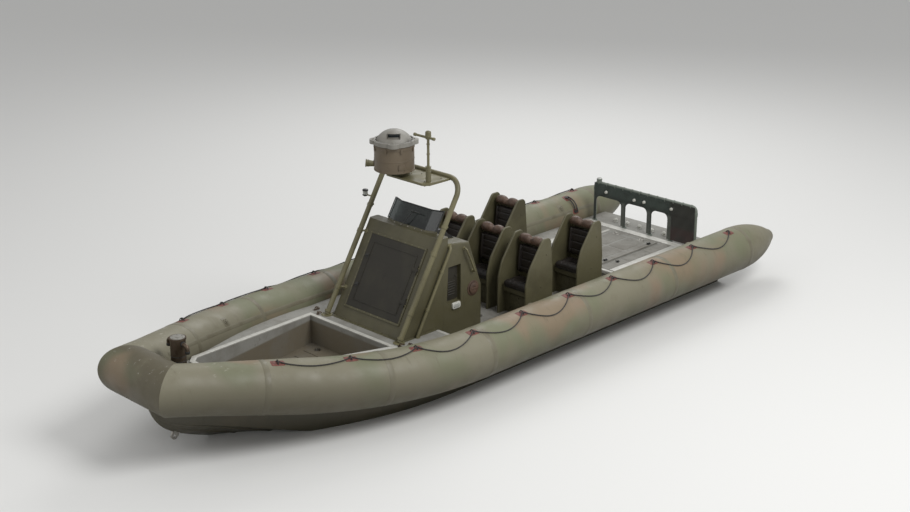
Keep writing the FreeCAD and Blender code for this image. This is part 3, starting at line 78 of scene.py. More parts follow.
def srgb(red, green, blue):
    """Linear colour of an 8-bit display colour."""
    def linear(value):
        part = value / 255
        return part / 12.92 if part <= 0.04045 else ((part + 0.055) / 1.055) ** 2.4
    return linear(red), linear(green), linear(blue), 1.0


# Materials

class Paint:
    """A node material over the piece's own coordinates, built up step by step."""

    def __init__(self, name, colour, rough=0.5, metal=0.0, **more):
        self.material = bpy.data.materials.new(name)
        self.material.use_nodes = True
        self.tree = self.material.node_tree
        self.shader = self.tree.nodes["Principled BSDF"]
        self.feel({"Metallic": metal, "Roughness": rough, "Base Color": colour, **more})
        self.place = self.node("ShaderNodeTexCoord").outputs["Object"]
        self.colour = colour
        self.height = None

    def feel(self, values, made=None):
        """Gives each named input its value, or links it to a socket."""
        for key, value in values.items():
            target = (made or self.shader).inputs[key]
            if isinstance(value, bpy.types.NodeSocket):
                self.tree.links.new(value, target)
            else:
                target.default_value = value

    def node(self, kind, values=None, **settings):
        made = self.tree.nodes.new(kind)
        for key, value in settings.items():
            setattr(made, key, value)
        self.feel(values or {}, made)
        return made

    def scaled(self, scale):
        """Coordinates stretched by a factor for each axis."""
        made = self.node("ShaderNodeMapping", {"Scale": scale, "Vector": self.place})
        return made.outputs["Vector"]

    def noise(self, scale, detail=4.0, rough=0.55, stretch=None, twist=0.0):
        vector = self.scaled(stretch) if stretch else self.place
        return self.node("ShaderNodeTexNoise", {
            "Scale": scale, "Detail": detail, "Roughness": rough, "Distortion": twist,
            "Vector": vector}).outputs["Fac"]

    def cells(self, scale):
        return self.node("ShaderNodeTexVoronoi",
                         {"Scale": scale, "Vector": self.place}).outputs["Distance"]

    def axis(self, name):
        return self.node("ShaderNodeSeparateXYZ", {"Vector": self.place}).outputs[name]

    def ramp(self, source, low, high, start=0.0, end=1.0):
        """Maps low..high to start..end, smoothly and held at both ends."""
        return self.node("ShaderNodeMapRange", {
            "From Min": low, "From Max": high, "To Min": start, "To Max": end,
            "Value": source}, interpolation_type="SMOOTHSTEP").outputs["Result"]

    def calc(self, operation, first, second):
        return self.node("ShaderNodeMath", {0: first, 1: second},
                         operation=operation).outputs["Value"]

    def both(self, first, second):
        return self.calc("MULTIPLY", first, second)

    def tint(self, mask, colour, amount=1.0):
        """Lays a colour over what is there, where the mask is 1."""
        factor = self.both(mask, amount) if amount != 1.0 else mask
        self.colour = self.node("ShaderNodeMix", {"A": self.colour, "B": colour, "Factor": factor},
                                data_type="RGBA").outputs["Result"]

    def mottle(self, source, low, high, colour, amount=1.0):
        """Tints where a source goes from low to high."""
        self.tint(self.ramp(source, low, high), colour, amount)

    def bump(self, source, depth):
        scaled = self.both(source, depth)
        self.height = self.calc("ADD", self.height, scaled) if self.height else scaled

    def worn(self, source, low, high):
        """Roughness that follows a noise between low and high."""
        self.feel({"Roughness": self.ramp(source, 0.3, 0.7, low, high)})

    def done(self):
        self.feel({"Base Color": self.colour})
        if self.height:
            bump = self.node("ShaderNodeBump",
                             {"Distance": 1.0, "Strength": 1.0, "Height": self.height})
            self.feel({"Normal": bump.outputs["Normal"]})
        return self.material


def flank_stain_and_shade(paint, amount):
    """Darkens the tube's lower side, at a height that follows its rise to the bow: water staining
    and painted shade.
    """
    sheer = paint.ramp(paint.axis("X"), 1.09, 5.0, 0.0, 0.40)
    height = paint.calc("SUBTRACT", paint.axis("Z"), sheer)
    paint.mottle(height, 0.86, 0.30, srgb(70, 65, 50), amount)


def collar_fabric(name="collar_fabric", colour=srgb(122, 118, 99)):
    paint = Paint(name, colour, 0.55)
    patches = paint.noise(1.15, 2.0, 0.4, (1.0, 0.6, 0.6))
    paint.mottle(patches, 0.46, 0.60, srgb(106, 111, 84), 0.65)
    patches = paint.noise(1.35, 2.0, 0.4, (0.9, 0.7, 0.7), 0.4)
    paint.mottle(patches, 0.54, 0.68, srgb(137, 113, 93), 0.6)
    paint.mottle(paint.noise(3.2, 5.0, 0.6), 0.55, 0.75, srgb(106, 101, 80), 0.55)
    # water staining and painted shade on the tube's lower side
    flank_stain_and_shade(paint, 0.8)
    streaks = paint.noise(5.0, 6.0, 0.7, (3.0, 1.0, 0.35))
    paint.mottle(streaks, 0.56, 0.72, srgb(92, 86, 66), 0.45)
    # pale flecks on the top of the tube toward the bow
    crown = paint.both(paint.ramp(paint.axis("X"), 3.3, 4.4),
                       paint.ramp(paint.axis("Z"), 1.02, 1.24))
    crown_flecks = paint.ramp(paint.noise(14.0, 6.0, 0.7, (0.5, 1.0, 1.0)), 0.60, 0.70)
    paint.tint(paint.both(crown, crown_flecks), srgb(176, 172, 162), 0.6)
    paint.bump(paint.noise(2.4, 3.0, 0.5), 0.004)
    paint.bump(paint.noise(420.0, 2.0, 0.6), 0.00035)
    paint.bump(paint.cells(260.0), 0.0003)
    paint.worn(paint.noise(4.0, 4.0), 0.46, 0.66)
    return paint.done()


def tape_fabric():
    paint = Paint("seam_tape", srgb(114, 110, 92), 0.5)
    paint.mottle(paint.noise(5.0), 0.45, 0.7, srgb(97, 91, 72), 0.7)
    # water staining and painted shade on the tape's lower side
    flank_stain_and_shade(paint, 0.76)
    paint.bump(paint.noise(300.0, 2.0), 0.0004)
    paint.worn(paint.noise(9.0), 0.4, 0.6)
    return paint.done()


def patch_rubber():
    paint = Paint("patch_rubber", srgb(114, 64, 55), 0.6)
    paint.mottle(paint.noise(24.0, 5.0), 0.42, 0.66, srgb(78, 46, 40), 0.75)
    paint.mottle(paint.noise(90.0, 3.0), 0.56, 0.7, srgb(138, 98, 86), 0.5)
    paint.bump(paint.noise(260.0), 0.0005)
    return paint.done()


def rope_fibre():
    paint = Paint("rope_fibre", srgb(34, 32, 29), 0.8, **{"Sheen Weight": 0.25})
    paint.mottle(paint.noise(60.0, 4.0), 0.45, 0.7, srgb(60, 55, 48), 0.6)
    paint.bump(paint.noise(900.0, 2.0, 0.6, (1.0, 0.3, 1.0)), 0.0006)
    return paint.done()


def hull_gelcoat():
    """Weathered above the waterline at z 0, red-brown with growth below it."""
    paint = Paint("hull_gelcoat", srgb(68, 64, 49), 0.42, **{"Coat Weight": 0.25})
    paint.mottle(paint.noise(2.2, 4.0), 0.45, 0.68, srgb(82, 74, 56), 0.6)
    streaks = paint.noise(4.0, 6.0, 0.7, (4.0, 4.0, 0.25))
    paint.mottle(streaks, 0.52, 0.70, srgb(53, 50, 36), 0.6)
    height = paint.axis("Z")
    edge = paint.calc("ADD", height, paint.both(paint.noise(7.0, 5.0), 0.05))
    paint.mottle(edge, 0.14, 0.03, srgb(50, 49, 33), 0.75)
    paint.mottle(height, 0.004, -0.004, srgb(52, 34, 30), 0.95)
    growth = paint.both(paint.ramp(paint.noise(30.0, 5.0), 0.55, 0.66),
                        paint.ramp(height, 0.02, -0.02))
    paint.tint(growth, srgb(70, 72, 54), 0.6)
    scratch = paint.noise(16.0, 8.0, 0.8, (0.25, 1.0, 5.0))
    paint.mottle(scratch, 0.64, 0.70, srgb(116, 112, 101), 0.4)
    paint.bump(paint.noise(1.8, 2.0), 0.003)
    paint.bump(paint.noise(120.0, 3.0), 0.0002)
    paint.worn(paint.noise(6.0, 5.0), 0.28, 0.5)
    return paint.done()


def deck_paint(name, colour, shade, well_painted_shade=None):
    """Grit paint; the optional last colour is painted shade that darkens what lies in the sunken
    fore well.
    """
    paint = Paint(name, colour, 0.7)
    if well_painted_shade:
        # painted shade: darkens the fore well, below the foredeck and ahead of x 1.0
        sunk = paint.both(paint.ramp(paint.axis("Z"), 0.64, 0.61),
                          paint.ramp(paint.axis("X"), 1.0, 1.2))
        paint.tint(sunk, well_painted_shade)
    paint.mottle(paint.noise(2.6, 5.0, 0.6), 0.42, 0.68, shade, 0.55)
    paint.mottle(paint.noise(11.0, 6.0, 0.7), 0.54, 0.72, shade, 0.6)
    paint.mottle(paint.cells(5.0), 0.12, 0.02, srgb(72, 68, 60), 0.35)
    paint.bump(paint.cells(330.0), 0.0016)
    paint.bump(paint.noise(520.0, 3.0), 0.0009)
    return paint.done()


def rim_paint():
    paint = Paint("rim_paint", srgb(184, 183, 176), 0.42)
    paint.mottle(paint.noise(9.0, 6.0, 0.7), 0.46, 0.66, srgb(154, 151, 142), 0.55)
    paint.mottle(paint.noise(34.0, 4.0), 0.62, 0.74, srgb(112, 106, 95), 0.4)
    paint.bump(paint.noise(180.0), 0.0003)
    paint.worn(paint.noise(14.0), 0.36, 0.58)
    return paint.done()


def shell_paint(name, *colours):
    """Moulded shell in satin paint: orange peel, hand grime and chips."""
    body, dark, light = (srgb(*colour) for colour in colours)
    paint = Paint(name, body, 0.5)
    paint.mottle(paint.noise(2.4, 4.0), 0.42, 0.68, dark, 0.55)
    paint.mottle(paint.noise(7.0, 6.0, 0.7, (2.0, 2.0, 0.22)), 0.56, 0.72, dark, 0.5)
    paint.mottle(paint.noise(26.0, 6.0, 0.75), 0.63, 0.70, light, 0.5)
    paint.bump(paint.noise(240.0, 2.0), 0.00035)
    paint.bump(paint.noise(3.0, 2.0), 0.0012)
    paint.worn(paint.noise(8.0, 5.0), 0.4, 0.62)
    return paint.done()


def dark_panel():
    paint = Paint("dark_panel", srgb(41, 38, 30), 0.65)
    paint.mottle(paint.noise(3.0, 5.0), 0.42, 0.68, srgb(50, 47, 36), 0.7)
    runs = paint.noise(9.0, 6.0, 0.7, (1.0, 2.0, 0.3))
    paint.mottle(runs, 0.55, 0.7, srgb(33, 31, 24), 0.6)
    paint.bump(paint.cells(150.0), 0.0006)
    paint.bump(paint.noise(400.0, 2.0), 0.0003)
    return paint.done()


def tinted_glass():
    paint = Paint("tinted_glass", srgb(40, 45, 43), 0.10,
                  **{"Transmission Weight": 0.55, "IOR": 1.5})
    salt = paint.noise(6.0, 6.0, 0.7, (1.0, 1.0, 0.3))
    paint.mottle(salt, 0.5, 0.72, srgb(66, 72, 70), 0.35)
    # painted reflection: the screen's starboard facet is lighter
    paint.mottle(paint.axis("Y"), -0.16, -0.36, srgb(84, 93, 91), 0.7)
    paint.worn(paint.noise(12.0, 5.0), 0.04, 0.16)
    return paint.done()


def metal(name, colour, rough, streaky=(1.0, 1.0, 1.0), dirt=None):
    paint = Paint(name, colour, rough, 1.0)
    dull = tuple(part * 0.55 for part in colour[:3]) + (1.0,)
    paint.mottle(paint.noise(12.0, 5.0, 0.7, streaky), 0.5, 0.74, dirt or dull, 0.55)
    paint.bump(paint.noise(160.0, 4.0, 0.6, streaky), 0.0003)
    paint.worn(paint.noise(20.0, 4.0), rough * 0.75, min(1.0, rough * 1.5))
    return paint.done()


def black_plastic():
    paint = Paint("black_plastic", srgb(38, 38, 36), 0.5)
    paint.mottle(paint.noise(18.0, 5.0), 0.5, 0.72, srgb(62, 60, 55), 0.5)
    paint.bump(paint.cells(700.0), 0.0003)
    paint.worn(paint.noise(30.0), 0.38, 0.6)
    return paint.done()


def leather(name, *colours):
    body, dark, light = (srgb(*colour) for colour in colours)
    paint = Paint(name, body, 0.46)
    paint.mottle(paint.noise(9.0, 4.0), 0.42, 0.68, dark, 0.7)
    paint.mottle(paint.noise(28.0, 6.0, 0.7), 0.58, 0.72, light, 0.45)
    paint.bump(paint.cells(330.0), 0.0009)
    paint.bump(paint.noise(60.0, 4.0), 0.0006)
    paint.worn(paint.noise(16.0), 0.36, 0.56)
    return paint.done()


def canvas_cloth():
    """Woven cloth: a lighter band on top, a dark port bay and pale sleeves round the posts."""
    paint = Paint("canvas_cloth", srgb(38, 47, 40), 0.85, **{"Sheen Weight": 0.3})
    paint.mottle(paint.axis("Z"), 0.99, 1.06, srgb(52, 64, 57), 0.85)
    paint.mottle(paint.axis("Y"), 0.49, 0.55, srgb(35, 32, 23), 0.85)
    port_foot = paint.both(paint.ramp(paint.axis("Y"), 0.50, 0.56),
                           paint.ramp(paint.axis("Z"), 0.84, 0.76))
    paint.tint(port_foot, srgb(52, 31, 26), 0.85)
    for post in POSTS:
        sleeve = paint.both(paint.ramp(paint.axis("Y"), post - 0.046, post - 0.036),
                            paint.ramp(paint.axis("Y"), post + 0.032, post + 0.022))
        sleeve = paint.both(sleeve, paint.ramp(paint.axis("Z"), 0.99, 0.93))
        paint.tint(sleeve, srgb(88, 92, 84), 0.8)
    paint.mottle(paint.noise(7.0, 5.0, 0.7), 0.45, 0.7, srgb(26, 31, 25), 0.6)
    for stretch in ((1.0, 1.0, 0.02), (1.0, 0.02, 1.0)):
        weave = paint.node("ShaderNodeTexWave", {"Scale": 95.0, "Vector": paint.scaled(stretch)},
                           wave_type="BANDS", bands_direction="DIAGONAL")
        paint.bump(weave.outputs["Fac"], 0.0007)
    return paint.done()


def lens(name, *colour):
    paint = Paint(name, srgb(*colour), 0.12, **{"Transmission Weight": 0.3})
    paint.mottle(paint.noise(30.0), 0.5, 0.75, srgb(70, 66, 60), 0.3)
    paint.bump(paint.noise(120.0, 2.0, 0.5, (1.0, 1.0, 0.1)), 0.0008)
    return paint.done()


MATERIALS = {
    "hull": hull_gelcoat(),
    # the deck grit's last colour is painted shade for the sunken fore well
    "deck": deck_paint("deck_grit", srgb(142, 141, 135), srgb(112, 108, 99), srgb(108, 100, 84)),
    "sole": deck_paint("sole_grit", srgb(132, 130, 123), srgb(100, 96, 87)),
    "rim": rim_paint(),
    "collar": collar_fabric(),
    # the nose gets a darker copy of the collar fabric: painted shade for its faces turned away
    # from the light
    "nose": collar_fabric("shaded_nose_fabric", srgb(88, 82, 64)),
    "tape": tape_fabric(),
    "patch": patch_rubber(),
    "rope": rope_fibre(),
    "console": shell_paint("console_shell", (82, 78, 56), (64, 60, 43), (112, 107, 84)),
    "wing": shell_paint("seat_shell", (88, 84, 61), (66, 62, 44), (122, 118, 98)),
    "dark_panel": dark_panel(),
    "glass": tinted_glass(),
    "arch": shell_paint("arch_paint", (108, 103, 75), (80, 75, 53), (146, 142, 122)),
    "radar": shell_paint("radar_shell", (103, 91, 74), (80, 70, 56), (128, 119, 106)),
    "cap": shell_paint("radar_cap_shell", (136, 134, 127), (98, 92, 83), (176, 174, 168)),
    "upholstery": leather("seat_vinyl", (36, 30, 26), (22, 18, 16), (60, 52, 46)),
    "bolster": leather("bolster_vinyl", (90, 70, 57), (58, 44, 37), (150, 126, 113)),
    "canvas": canvas_cloth(),
    "guard": shell_paint("guard_paint", (112, 119, 110), (80, 84, 76), (156, 162, 154)),
    "engine": shell_paint("engine_paint", (120, 124, 126), (84, 86, 86), (158, 160, 160)),
    "jet": metal("cast_alloy", srgb(176, 178, 180), 0.46),
    "fitting": metal("stainless", srgb(168, 165, 158), 0.3, (1.0, 1.0, 0.2), srgb(92, 80, 66)),
    "bitt": metal("worn_steel", srgb(104, 92, 80), 0.5, (1.0, 1.0, 0.3), srgb(66, 50, 40)),
    "black": black_plastic(),
    "white": shell_paint("pale_enamel", (206, 206, 198), (168, 166, 156), (226, 226, 220)),
    "clear_lens": lens("clear_lens", 206, 208, 202),
    "screen_face": lens("screen_face", 26, 38, 42),
}

# The paint put in the material slots of each piece from the frame, by its name or its pair's name
NODE_PAINT = {
    "hull": "hull", "cockpit_sole": "sole", "foredeck": "deck", "aft_deck": "deck",
    "engine_hatch_lid": "deck", "collar": "collar", "collar_bow": "nose", "tail_cone": "collar",
    "console": "console", "console_front_panel": "dark_panel", "dashboard": "black",
    "windscreen": "glass", "windscreen_frame": "console", "helm_pump": "black",
    "steering_wheel": "black", "throttle_control": "black", "arch_hoop": "arch",
    "arch_brace": "arch", "radar_platform": "arch", "radar_drum": "radar", "radar_cap": "cap",
    "antenna_mast": "arch", "loudhailer": "arch", "navigation_lamp": "arch",
    "guard_frame": "guard", "guard_canvas": "canvas", "bow_bitt": "bitt",
    "stern_deck_caps": "white", "bow_eye": "fitting", "stern_eyes": "fitting",
    "jet_housing": "jet", "steering_nozzle": "jet", "reversing_bucket": "jet",
    "engine": "engine",
}
for seat in SEATS:
    NODE_PAINT["seat_shell_" + seat] = "wing"
    NODE_PAINT["seat_cushion_" + seat] = "upholstery"
    NODE_PAINT["seat_backrest_" + seat] = "upholstery"

for node_name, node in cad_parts.items():
    pair_name = node_name.removesuffix("_port").removesuffix("_starboard")
    node_paint = MATERIALS[NODE_PAINT.get(node_name) or NODE_PAINT[pair_name]]
    if not node.material_slots:
        node.data.materials.append(node_paint)
    for node_slot in node.material_slots:
        node_slot.link = "OBJECT"
        node_slot.material = node_paint


# Shape helpers

def steps(start, end, count):
    """Values from start to end, both included, count steps apart."""
    return [start + (end - start) * k / count for k in range(count + 1)]


def circle(count, radius, phase=0.0, across=AHEAD, up=PORT):
    """Even steps from a centre to its circle; the phase of the first is in degrees."""
    turns = [radians(phase + 360 * k / count) for k in range(count)]
    return [(across * cos(turn) + up * sin(turn)) * radius for turn in turns]


def rounded(outline, radius):
    """Rounds the corners of a closed (u, v) outline."""
    made = []
    for i, corner in enumerate(outline):
        here = Vector(corner)
        to_last = Vector(outline[i - 1]) - here
        to_next = Vector(outline[(i + 1) % len(outline)]) - here
        cut = min(radius, to_last.length * 0.48, to_next.length * 0.48)
        start = here + to_last.normalized() * cut
        end = here + to_next.normalized() * cut
        for share in steps(0, 1, 4):
            made.append(start * (1 - share) ** 2 + here * 2 * share * (1 - share)
                        + end * share ** 2)
    return made


def rectangle(wide, high, radius=0.0):
    u, v = wide / 2, high / 2
    corners = [(-u, -v), (u, -v), (u, v), (-u, v)]
    return rounded(corners, radius) if radius else corners


def placed(at, x_axis, y_axis):
    """A place whose first two axes are given; the third is their cross product."""
    first = Vector(x_axis).normalized()
    third = first.cross(Vector(y_axis)).normalized()
    turn = Matrix((first, third.cross(first), third)).transposed().to_4x4()
    return Matrix.Translation(Vector(at)) @ turn


def listed(name, data):
    """A new object in the scene."""
    made = bpy.data.objects.new(name, data)
    bpy.context.scene.collection.objects.link(made)
    return made


class Form:
    """Solids collected in one mesh, then named, painted and put on a body."""

    def __init__(self):
        self.bm = bmesh.new()

    def loop(self, points):
        return [self.bm.verts.new(point) for point in points]

    def bridge(self, low, high):
        """Walls between two loops; one of them may be a single point."""
        count = max(len(low), len(high))
        for i in range(count):
            j = (i + 1) % count
            if len(low) == 1:
                self.bm.faces.new((low[0], high[j], high[i]))
            elif len(high) == 1:
                self.bm.faces.new((low[i], low[j], high[0]))
            else:
                self.bm.faces.new((low[i], low[j], high[j], high[i]))

    def soften(self, edges, width):
        bmesh.ops.bevel(self.bm, geom=list(edges), offset=width, segments=2, profile=0.5,
                        affect="EDGES", clamp_overlap=True)

    def box(self, size, at, turn=None, soft=0.0):
        made = bmesh.ops.create_cube(self.bm, size=1.0)["verts"]
        move = Matrix.Translation(Vector(at)) @ (turn or Matrix()) @ Matrix.Diagonal((*size, 1.0))
        bmesh.ops.transform(self.bm, matrix=move, verts=made)
        if soft:
            self.soften({edge for vert in made for edge in vert.link_edges}, soft)
        return self

    def lathe(self, profile, at, axis=UP, sides=32):
        """Turns a profile of (radius, height) about the axis."""
        carry = Vector(axis).normalized().to_track_quat("Z", "Y").to_matrix().to_4x4()
        place = Matrix.Translation(Vector(at)) @ carry
        turns = [2 * pi * i / sides for i in range(sides)]
        loops = []
        for radius, height in profile:
            loops.append(self.loop(
                place @ Vector((radius * cos(turn), radius * sin(turn), height))
                for turn in (turns if radius else turns[:1])))
        for low, high in zip(loops, loops[1:]):
            self.bridge(low, high)
        for end in (loops[0][::-1], loops[-1]):
            if len(end) > 1:
                self.bm.faces.new(end)
        return self

    def band(self, seat, top, start, end, soft, at, axis=UP, sides=32):
        """A collar on a shaft from start to end, its outer edges softened."""
        profile = [(seat, start), (top, start + soft), (top, end - soft), (seat, end)]
        return self.lathe(profile, at, axis, sides)

    def disc(self, radius, thick, at, axis=UP, edge=0.002, sides=32):
        """A turned disc with softened edges, from its seat outward."""
        edge = min(edge, thick * 0.45, radius * 0.45)
        profile = [(radius, 0), (radius, thick - edge), (radius - 0.3 * edge, thick - 0.3 * edge),
                   (radius - edge, thick)]
        return self.lathe(profile, at, axis, sides)

    def bolts(self, spots, axis, radius, high):
        """Hexagon heads on washers."""
        lift = Vector(axis).normalized() * high * 0.2
        washer = [(radius * 1.5, 0), (radius * 1.5, high * 0.25), (radius * 1.3, high * 0.3)]
        head = [(radius, 0), (radius, high * 0.7), (radius * 0.85, high)]
        for spot in spots:
            self.lathe(washer, spot, axis, 16)
            self.lathe(head, Vector(spot) + lift, axis, 6)
        return self

    def tube(self, points, radius, sides=10, closed=False):
        """A round section carried along points."""
        points = [Vector(point) for point in points]
        count = len(points)
        side = None
        loops = []
        for i, point in enumerate(points):
            before = points[i - 1] if i or closed else point
            after = points[(i + 1) % count] if i < count - 1 or closed else point
            along = (after - before).normalized()
            side = side or (UP if abs(along.z) < 0.9 else AHEAD)
            side = (side - along * side.dot(along)).normalized()
            ring = circle(sides, radius, 0.0, side, along.cross(side))
            loops.append(self.loop(point + spot for spot in ring))
        for low, high in zip(loops, loops[1:] + loops[:1] if closed else loops[1:]):
            self.bridge(low, high)
        if not closed:
            self.bm.faces.new(loops[0][::-1])
            self.bm.faces.new(loops[-1])
        return self

    def slab(self, top, bottom):
        """A closed skin between two grids of points with the same rows and columns."""
        rows, columns = len(top), len(top[0])
        upper, lower = [self.loop(row) for row in top], [self.loop(row) for row in bottom]
        for grid, ahead, across in ((upper, 1, 0), (lower, 0, 1)):
            for i in range(rows - 1):
                for j in range(columns - 1):
                    self.bm.faces.new((grid[i][j], grid[i + ahead][j + across], grid[i + 1][j + 1],
                                       grid[i + across][j + ahead]))
        rim = [(i, 0) for i in range(rows)] + [(rows - 1, j) for j in range(1, columns)]
        rim += [(i, columns - 1) for i in range(rows - 2, -1, -1)]
        rim += [(0, j) for j in range(columns - 2, 0, -1)]
        self.bridge([upper[i][j] for i, j in rim], [lower[i][j] for i, j in rim])
        return self

    def hoop(self, lines):
        """A ring-shaped moulding through lines that each run once round it."""
        loops = [self.loop(line) for line in lines]
        for low, high in zip(loops, loops[1:] + loops[:1]):
            self.bridge(low, high)
        return self

    def block(self, low, high):
        """A solid between two outlines; its top face is given back."""
        low, high = self.loop(low), self.loop(high)
        self.bm.faces.new(low[::-1])
        top = self.bm.faces.new(high)
        self.bridge(low, high)
        return top

    def prism(self, outline, thick, place, soft=0.0):
        """A flat outline of (u, v), pushed out along the place's third axis."""
        top = self.block(*([place @ Vector((u, v, w)) for u, v in outline] for w in (0, thick)))
        if soft:
            self.soften(top.edges, soft)
        return self

    def plate(self, wide, high, corner, thick, at, x_axis, y_axis, soft=0.0):
        """A flat block with round corners, standing on the plane of its two axes."""
        return self.prism(rectangle(wide, high, corner), thick, placed(at, x_axis, y_axis), soft)

    def surround(self, wide, high, band, thick, place, soft):
        """Four mitred bars round an opening."""
        outer, inner = rectangle(wide + 2 * band, high + 2 * band), rectangle(wide, high)
        for i in range(4):
            j = (i + 1) % 4
            self.prism([outer[i], outer[j], inner[j], inner[i]], thick, place, soft)
        return self

    def done(self, name, paint, body="root", slot=None, sharp=38.0):
        bmesh.ops.recalc_face_normals(self.bm, faces=self.bm.faces)
        mesh = bpy.data.meshes.new(name)
        self.bm.to_mesh(mesh)
        self.bm.free()
        mesh.polygons.foreach_set("use_smooth", [True] * len(mesh.polygons))
        mesh.set_sharp_from_angle(angle=radians(sharp))
        mesh.materials.append(MATERIALS[paint])
        piece = listed(name, mesh)
        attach(piece, body)
        return piece


# The collar's centre line, as in the frame: a straight side, one bend and a tapered nose

BEND_LENGTH = NOSE_CORNER.x - BEND_START.x
SIDEWAYS = NOSE_CORNER - BEND_START - AHEAD * BEND_LENGTH
INWARD = SIDEWAYS.normalized()
TANGENT = ((BEND_LENGTH ** 2 + SIDEWAYS.length ** 2 - NOSE_RUN ** 2)
           / (2 * (BEND_LENGTH + NOSE_RUN)))
BEND_TURN = atan2(SIDEWAYS.length, BEND_LENGTH - TANGENT)
BEND_R = TANGENT / tan(BEND_TURN / 2)
SIDE_RUN = BEND_START.x - TAIL_X
BEND_END_RUN = SIDE_RUN + BEND_R * BEND_TURN
COLLAR_RUN = BEND_END_RUN + NOSE_RUN


def collar_line(run):
    """Centre, direction and radius of the port tube at a run from its tail joint."""
    if run <= SIDE_RUN:
        return BEND_START + AHEAD * (run - SIDE_RUN), AHEAD, COLLAR_R
    turn = min((run - SIDE_RUN) / BEND_R, BEND_TURN)
    centre = BEND_START + (AHEAD * sin(turn) + INWARD * (1 - cos(turn))) * BEND_R
    heading = AHEAD * cos(turn) + INWARD * sin(turn)
    past = max(0.0, run - BEND_END_RUN)
    share = min(1.0, past / (NOSE_RUN - NOSE_END_RUN))
    return centre + heading * past, heading, COLLAR_R + (NOSE_R - COLLAR_R) * share


def on_collar(side, run, angle, lift=0.0):
    """A point on the tube; the angle is 0 on top and grows outboard, in degrees."""
    centre, along, radius = collar_line(run)
    up = (UP - along * along.z).normalized()
    turn = radians(angle)
    spot = centre + (up * cos(turn) + up.cross(along) * sin(turn)) * (radius + lift)
    return Vector((spot.x, spot.y * side, spot.z))


def seat_on_collar(side, run, angle):
    """A point on the tube and its outward direction."""
    seat = on_collar(side, run, angle)
    return seat, (on_collar(side, run, angle, 0.1) - seat).normalized()


def glued(form, side, grid, sunk=-0.002):
    """A skin over the tube, from rows of (run, angle, thickness)."""
    top = [[on_collar(side, *spot) for spot in row] for row in grid]
    bottom = [[on_collar(side, run, angle, sunk) for run, angle, thick in row] for row in grid]
    return form.slab(top, bottom)


def collar_patch(form, side, run, angle, long, wide, thick):
    """A patch that is thinner at its edges and round at its corners."""
    spread = degrees(wide / COLLAR_R)
    grid = []
    for u in steps(-1, 1, 8):
        grid.append([])
        for v in steps(-1, 1, 8):
            edge = max(abs(u), abs(v))
            pull = (edge / hypot(u, v)) ** 0.22 if edge else 1.0
            grid[-1].append((run + u * pull * long / 2, angle + v * pull * spread / 2,
                             thick * (1 - 0.75 * edge ** 6)))
    return glued(form, side, grid)


def collar_ring(form, side, run, wide, thick):
    """A tape round the tube."""
    section = ((-0.5, 0.2), (-0.42, 1.0), (0.42, 1.0), (0.5, 0.2))
    return glued(form, side, [[(run + across * wide, angle, thick * share)
                               for angle in steps(-180, 180, 72)] for across, share in section])


def collar_strip(form, side, runs, angles, wide, thick):
    """A moulding that goes along the tube from one run and angle to another."""
    section = ((-0.5, 0.0), (-0.40, 0.75), (-0.15, 1.0), (0.15, 1.0), (0.40, 0.75), (0.5, 0.0))
    line = list(zip(steps(*runs, 90), steps(*angles, 90)))
    return glued(form, side, [[(run, angle + degrees(across * wide / COLLAR_R), thick * share)
                               for run, angle in line] for across, share in section], -0.003)


TAB_START, TAB_PITCH, TAB_COUNT, TAB_ANGLE = 0.28, 0.92, 10, 9.0
TAB_RUNS = [TAB_START + TAB_PITCH * k for k in range(TAB_COUNT)]
ROPE_R, ROPE_LAY, ROPE_LIFT = 0.0085, 0.055, 0.014
ROPE_DROOP = 34.0
BOW_DROOP = {TAB_COUNT - 2: 0.40, TAB_COUNT - 3: 0.50}
SEAM_RUNS = (0.03, 1.90, 3.80, 5.66, 7.20, 8.72)
VALVE_RUNS, VALVE_ANGLE = (0.9, 4.4, 8.0), -46


def lifeline_path(side, chance):
    """Points of the rope, which hangs in a loop over the tube's outside between tabs."""
    points = []
    count = 26
    for span, start in enumerate(TAB_RUNS[:-1]):
        droop = (ROPE_DROOP + chance.uniform(-5.0, 6.0)) * BOW_DROOP.get(span, 1.0)
        lean = chance.uniform(-0.04, 0.04)
        for share in steps(0, 1, count)[:-1]:
            sag = sin(pi * share)
            near = max(0.0, 1 - min(share, 1 - share) * count / 2.5)
            points.append(on_collar(side, start + TAB_PITCH * (share + lean * sag),
                                    TAB_ANGLE + droop * sag ** 0.85,
                                    ROPE_R * 1.15 + ROPE_LIFT * near))
    points.append(on_collar(side, TAB_RUNS[-1], TAB_ANGLE, ROPE_R + ROPE_LIFT))
    return points


def laid_rope(form, points, radius, strands=3):
    """Strands twisted round a path."""
    runs = [0.0]
    for first, second in zip(points, points[1:]):
        runs.append(runs[-1] + (second - first).length)
    count = int(runs[-1] / (ROPE_LAY / 7))
    targets = steps(0.0, runs[-1], count)
    fine = []
    index = 0
    for target in targets:
        while index < len(points) - 2 and runs[index + 1] < target:
            index += 1
        share = (target - runs[index]) / max(1e-9, runs[index + 1] - runs[index])
        fine.append(points[index].lerp(points[index + 1], share))
    last = UP
    frames = []
    for k, point in enumerate(fine):
        along = (fine[min(k + 1, count)] - fine[max(k - 1, 0)]).normalized()
        last = (last - along * last.dot(along)).normalized()
        frames.append((point, last, along.cross(last), 2 * pi * targets[k] / ROPE_LAY))
    reach = radius * 0.52
    for strand in range(strands):
        path = []
        for point, first, second, twist in frames:
            turn = twist + 2 * pi * strand / strands
            path.append(point + (first * cos(turn) + second * sin(turn)) * reach)
        form.tube(path, reach, 6)


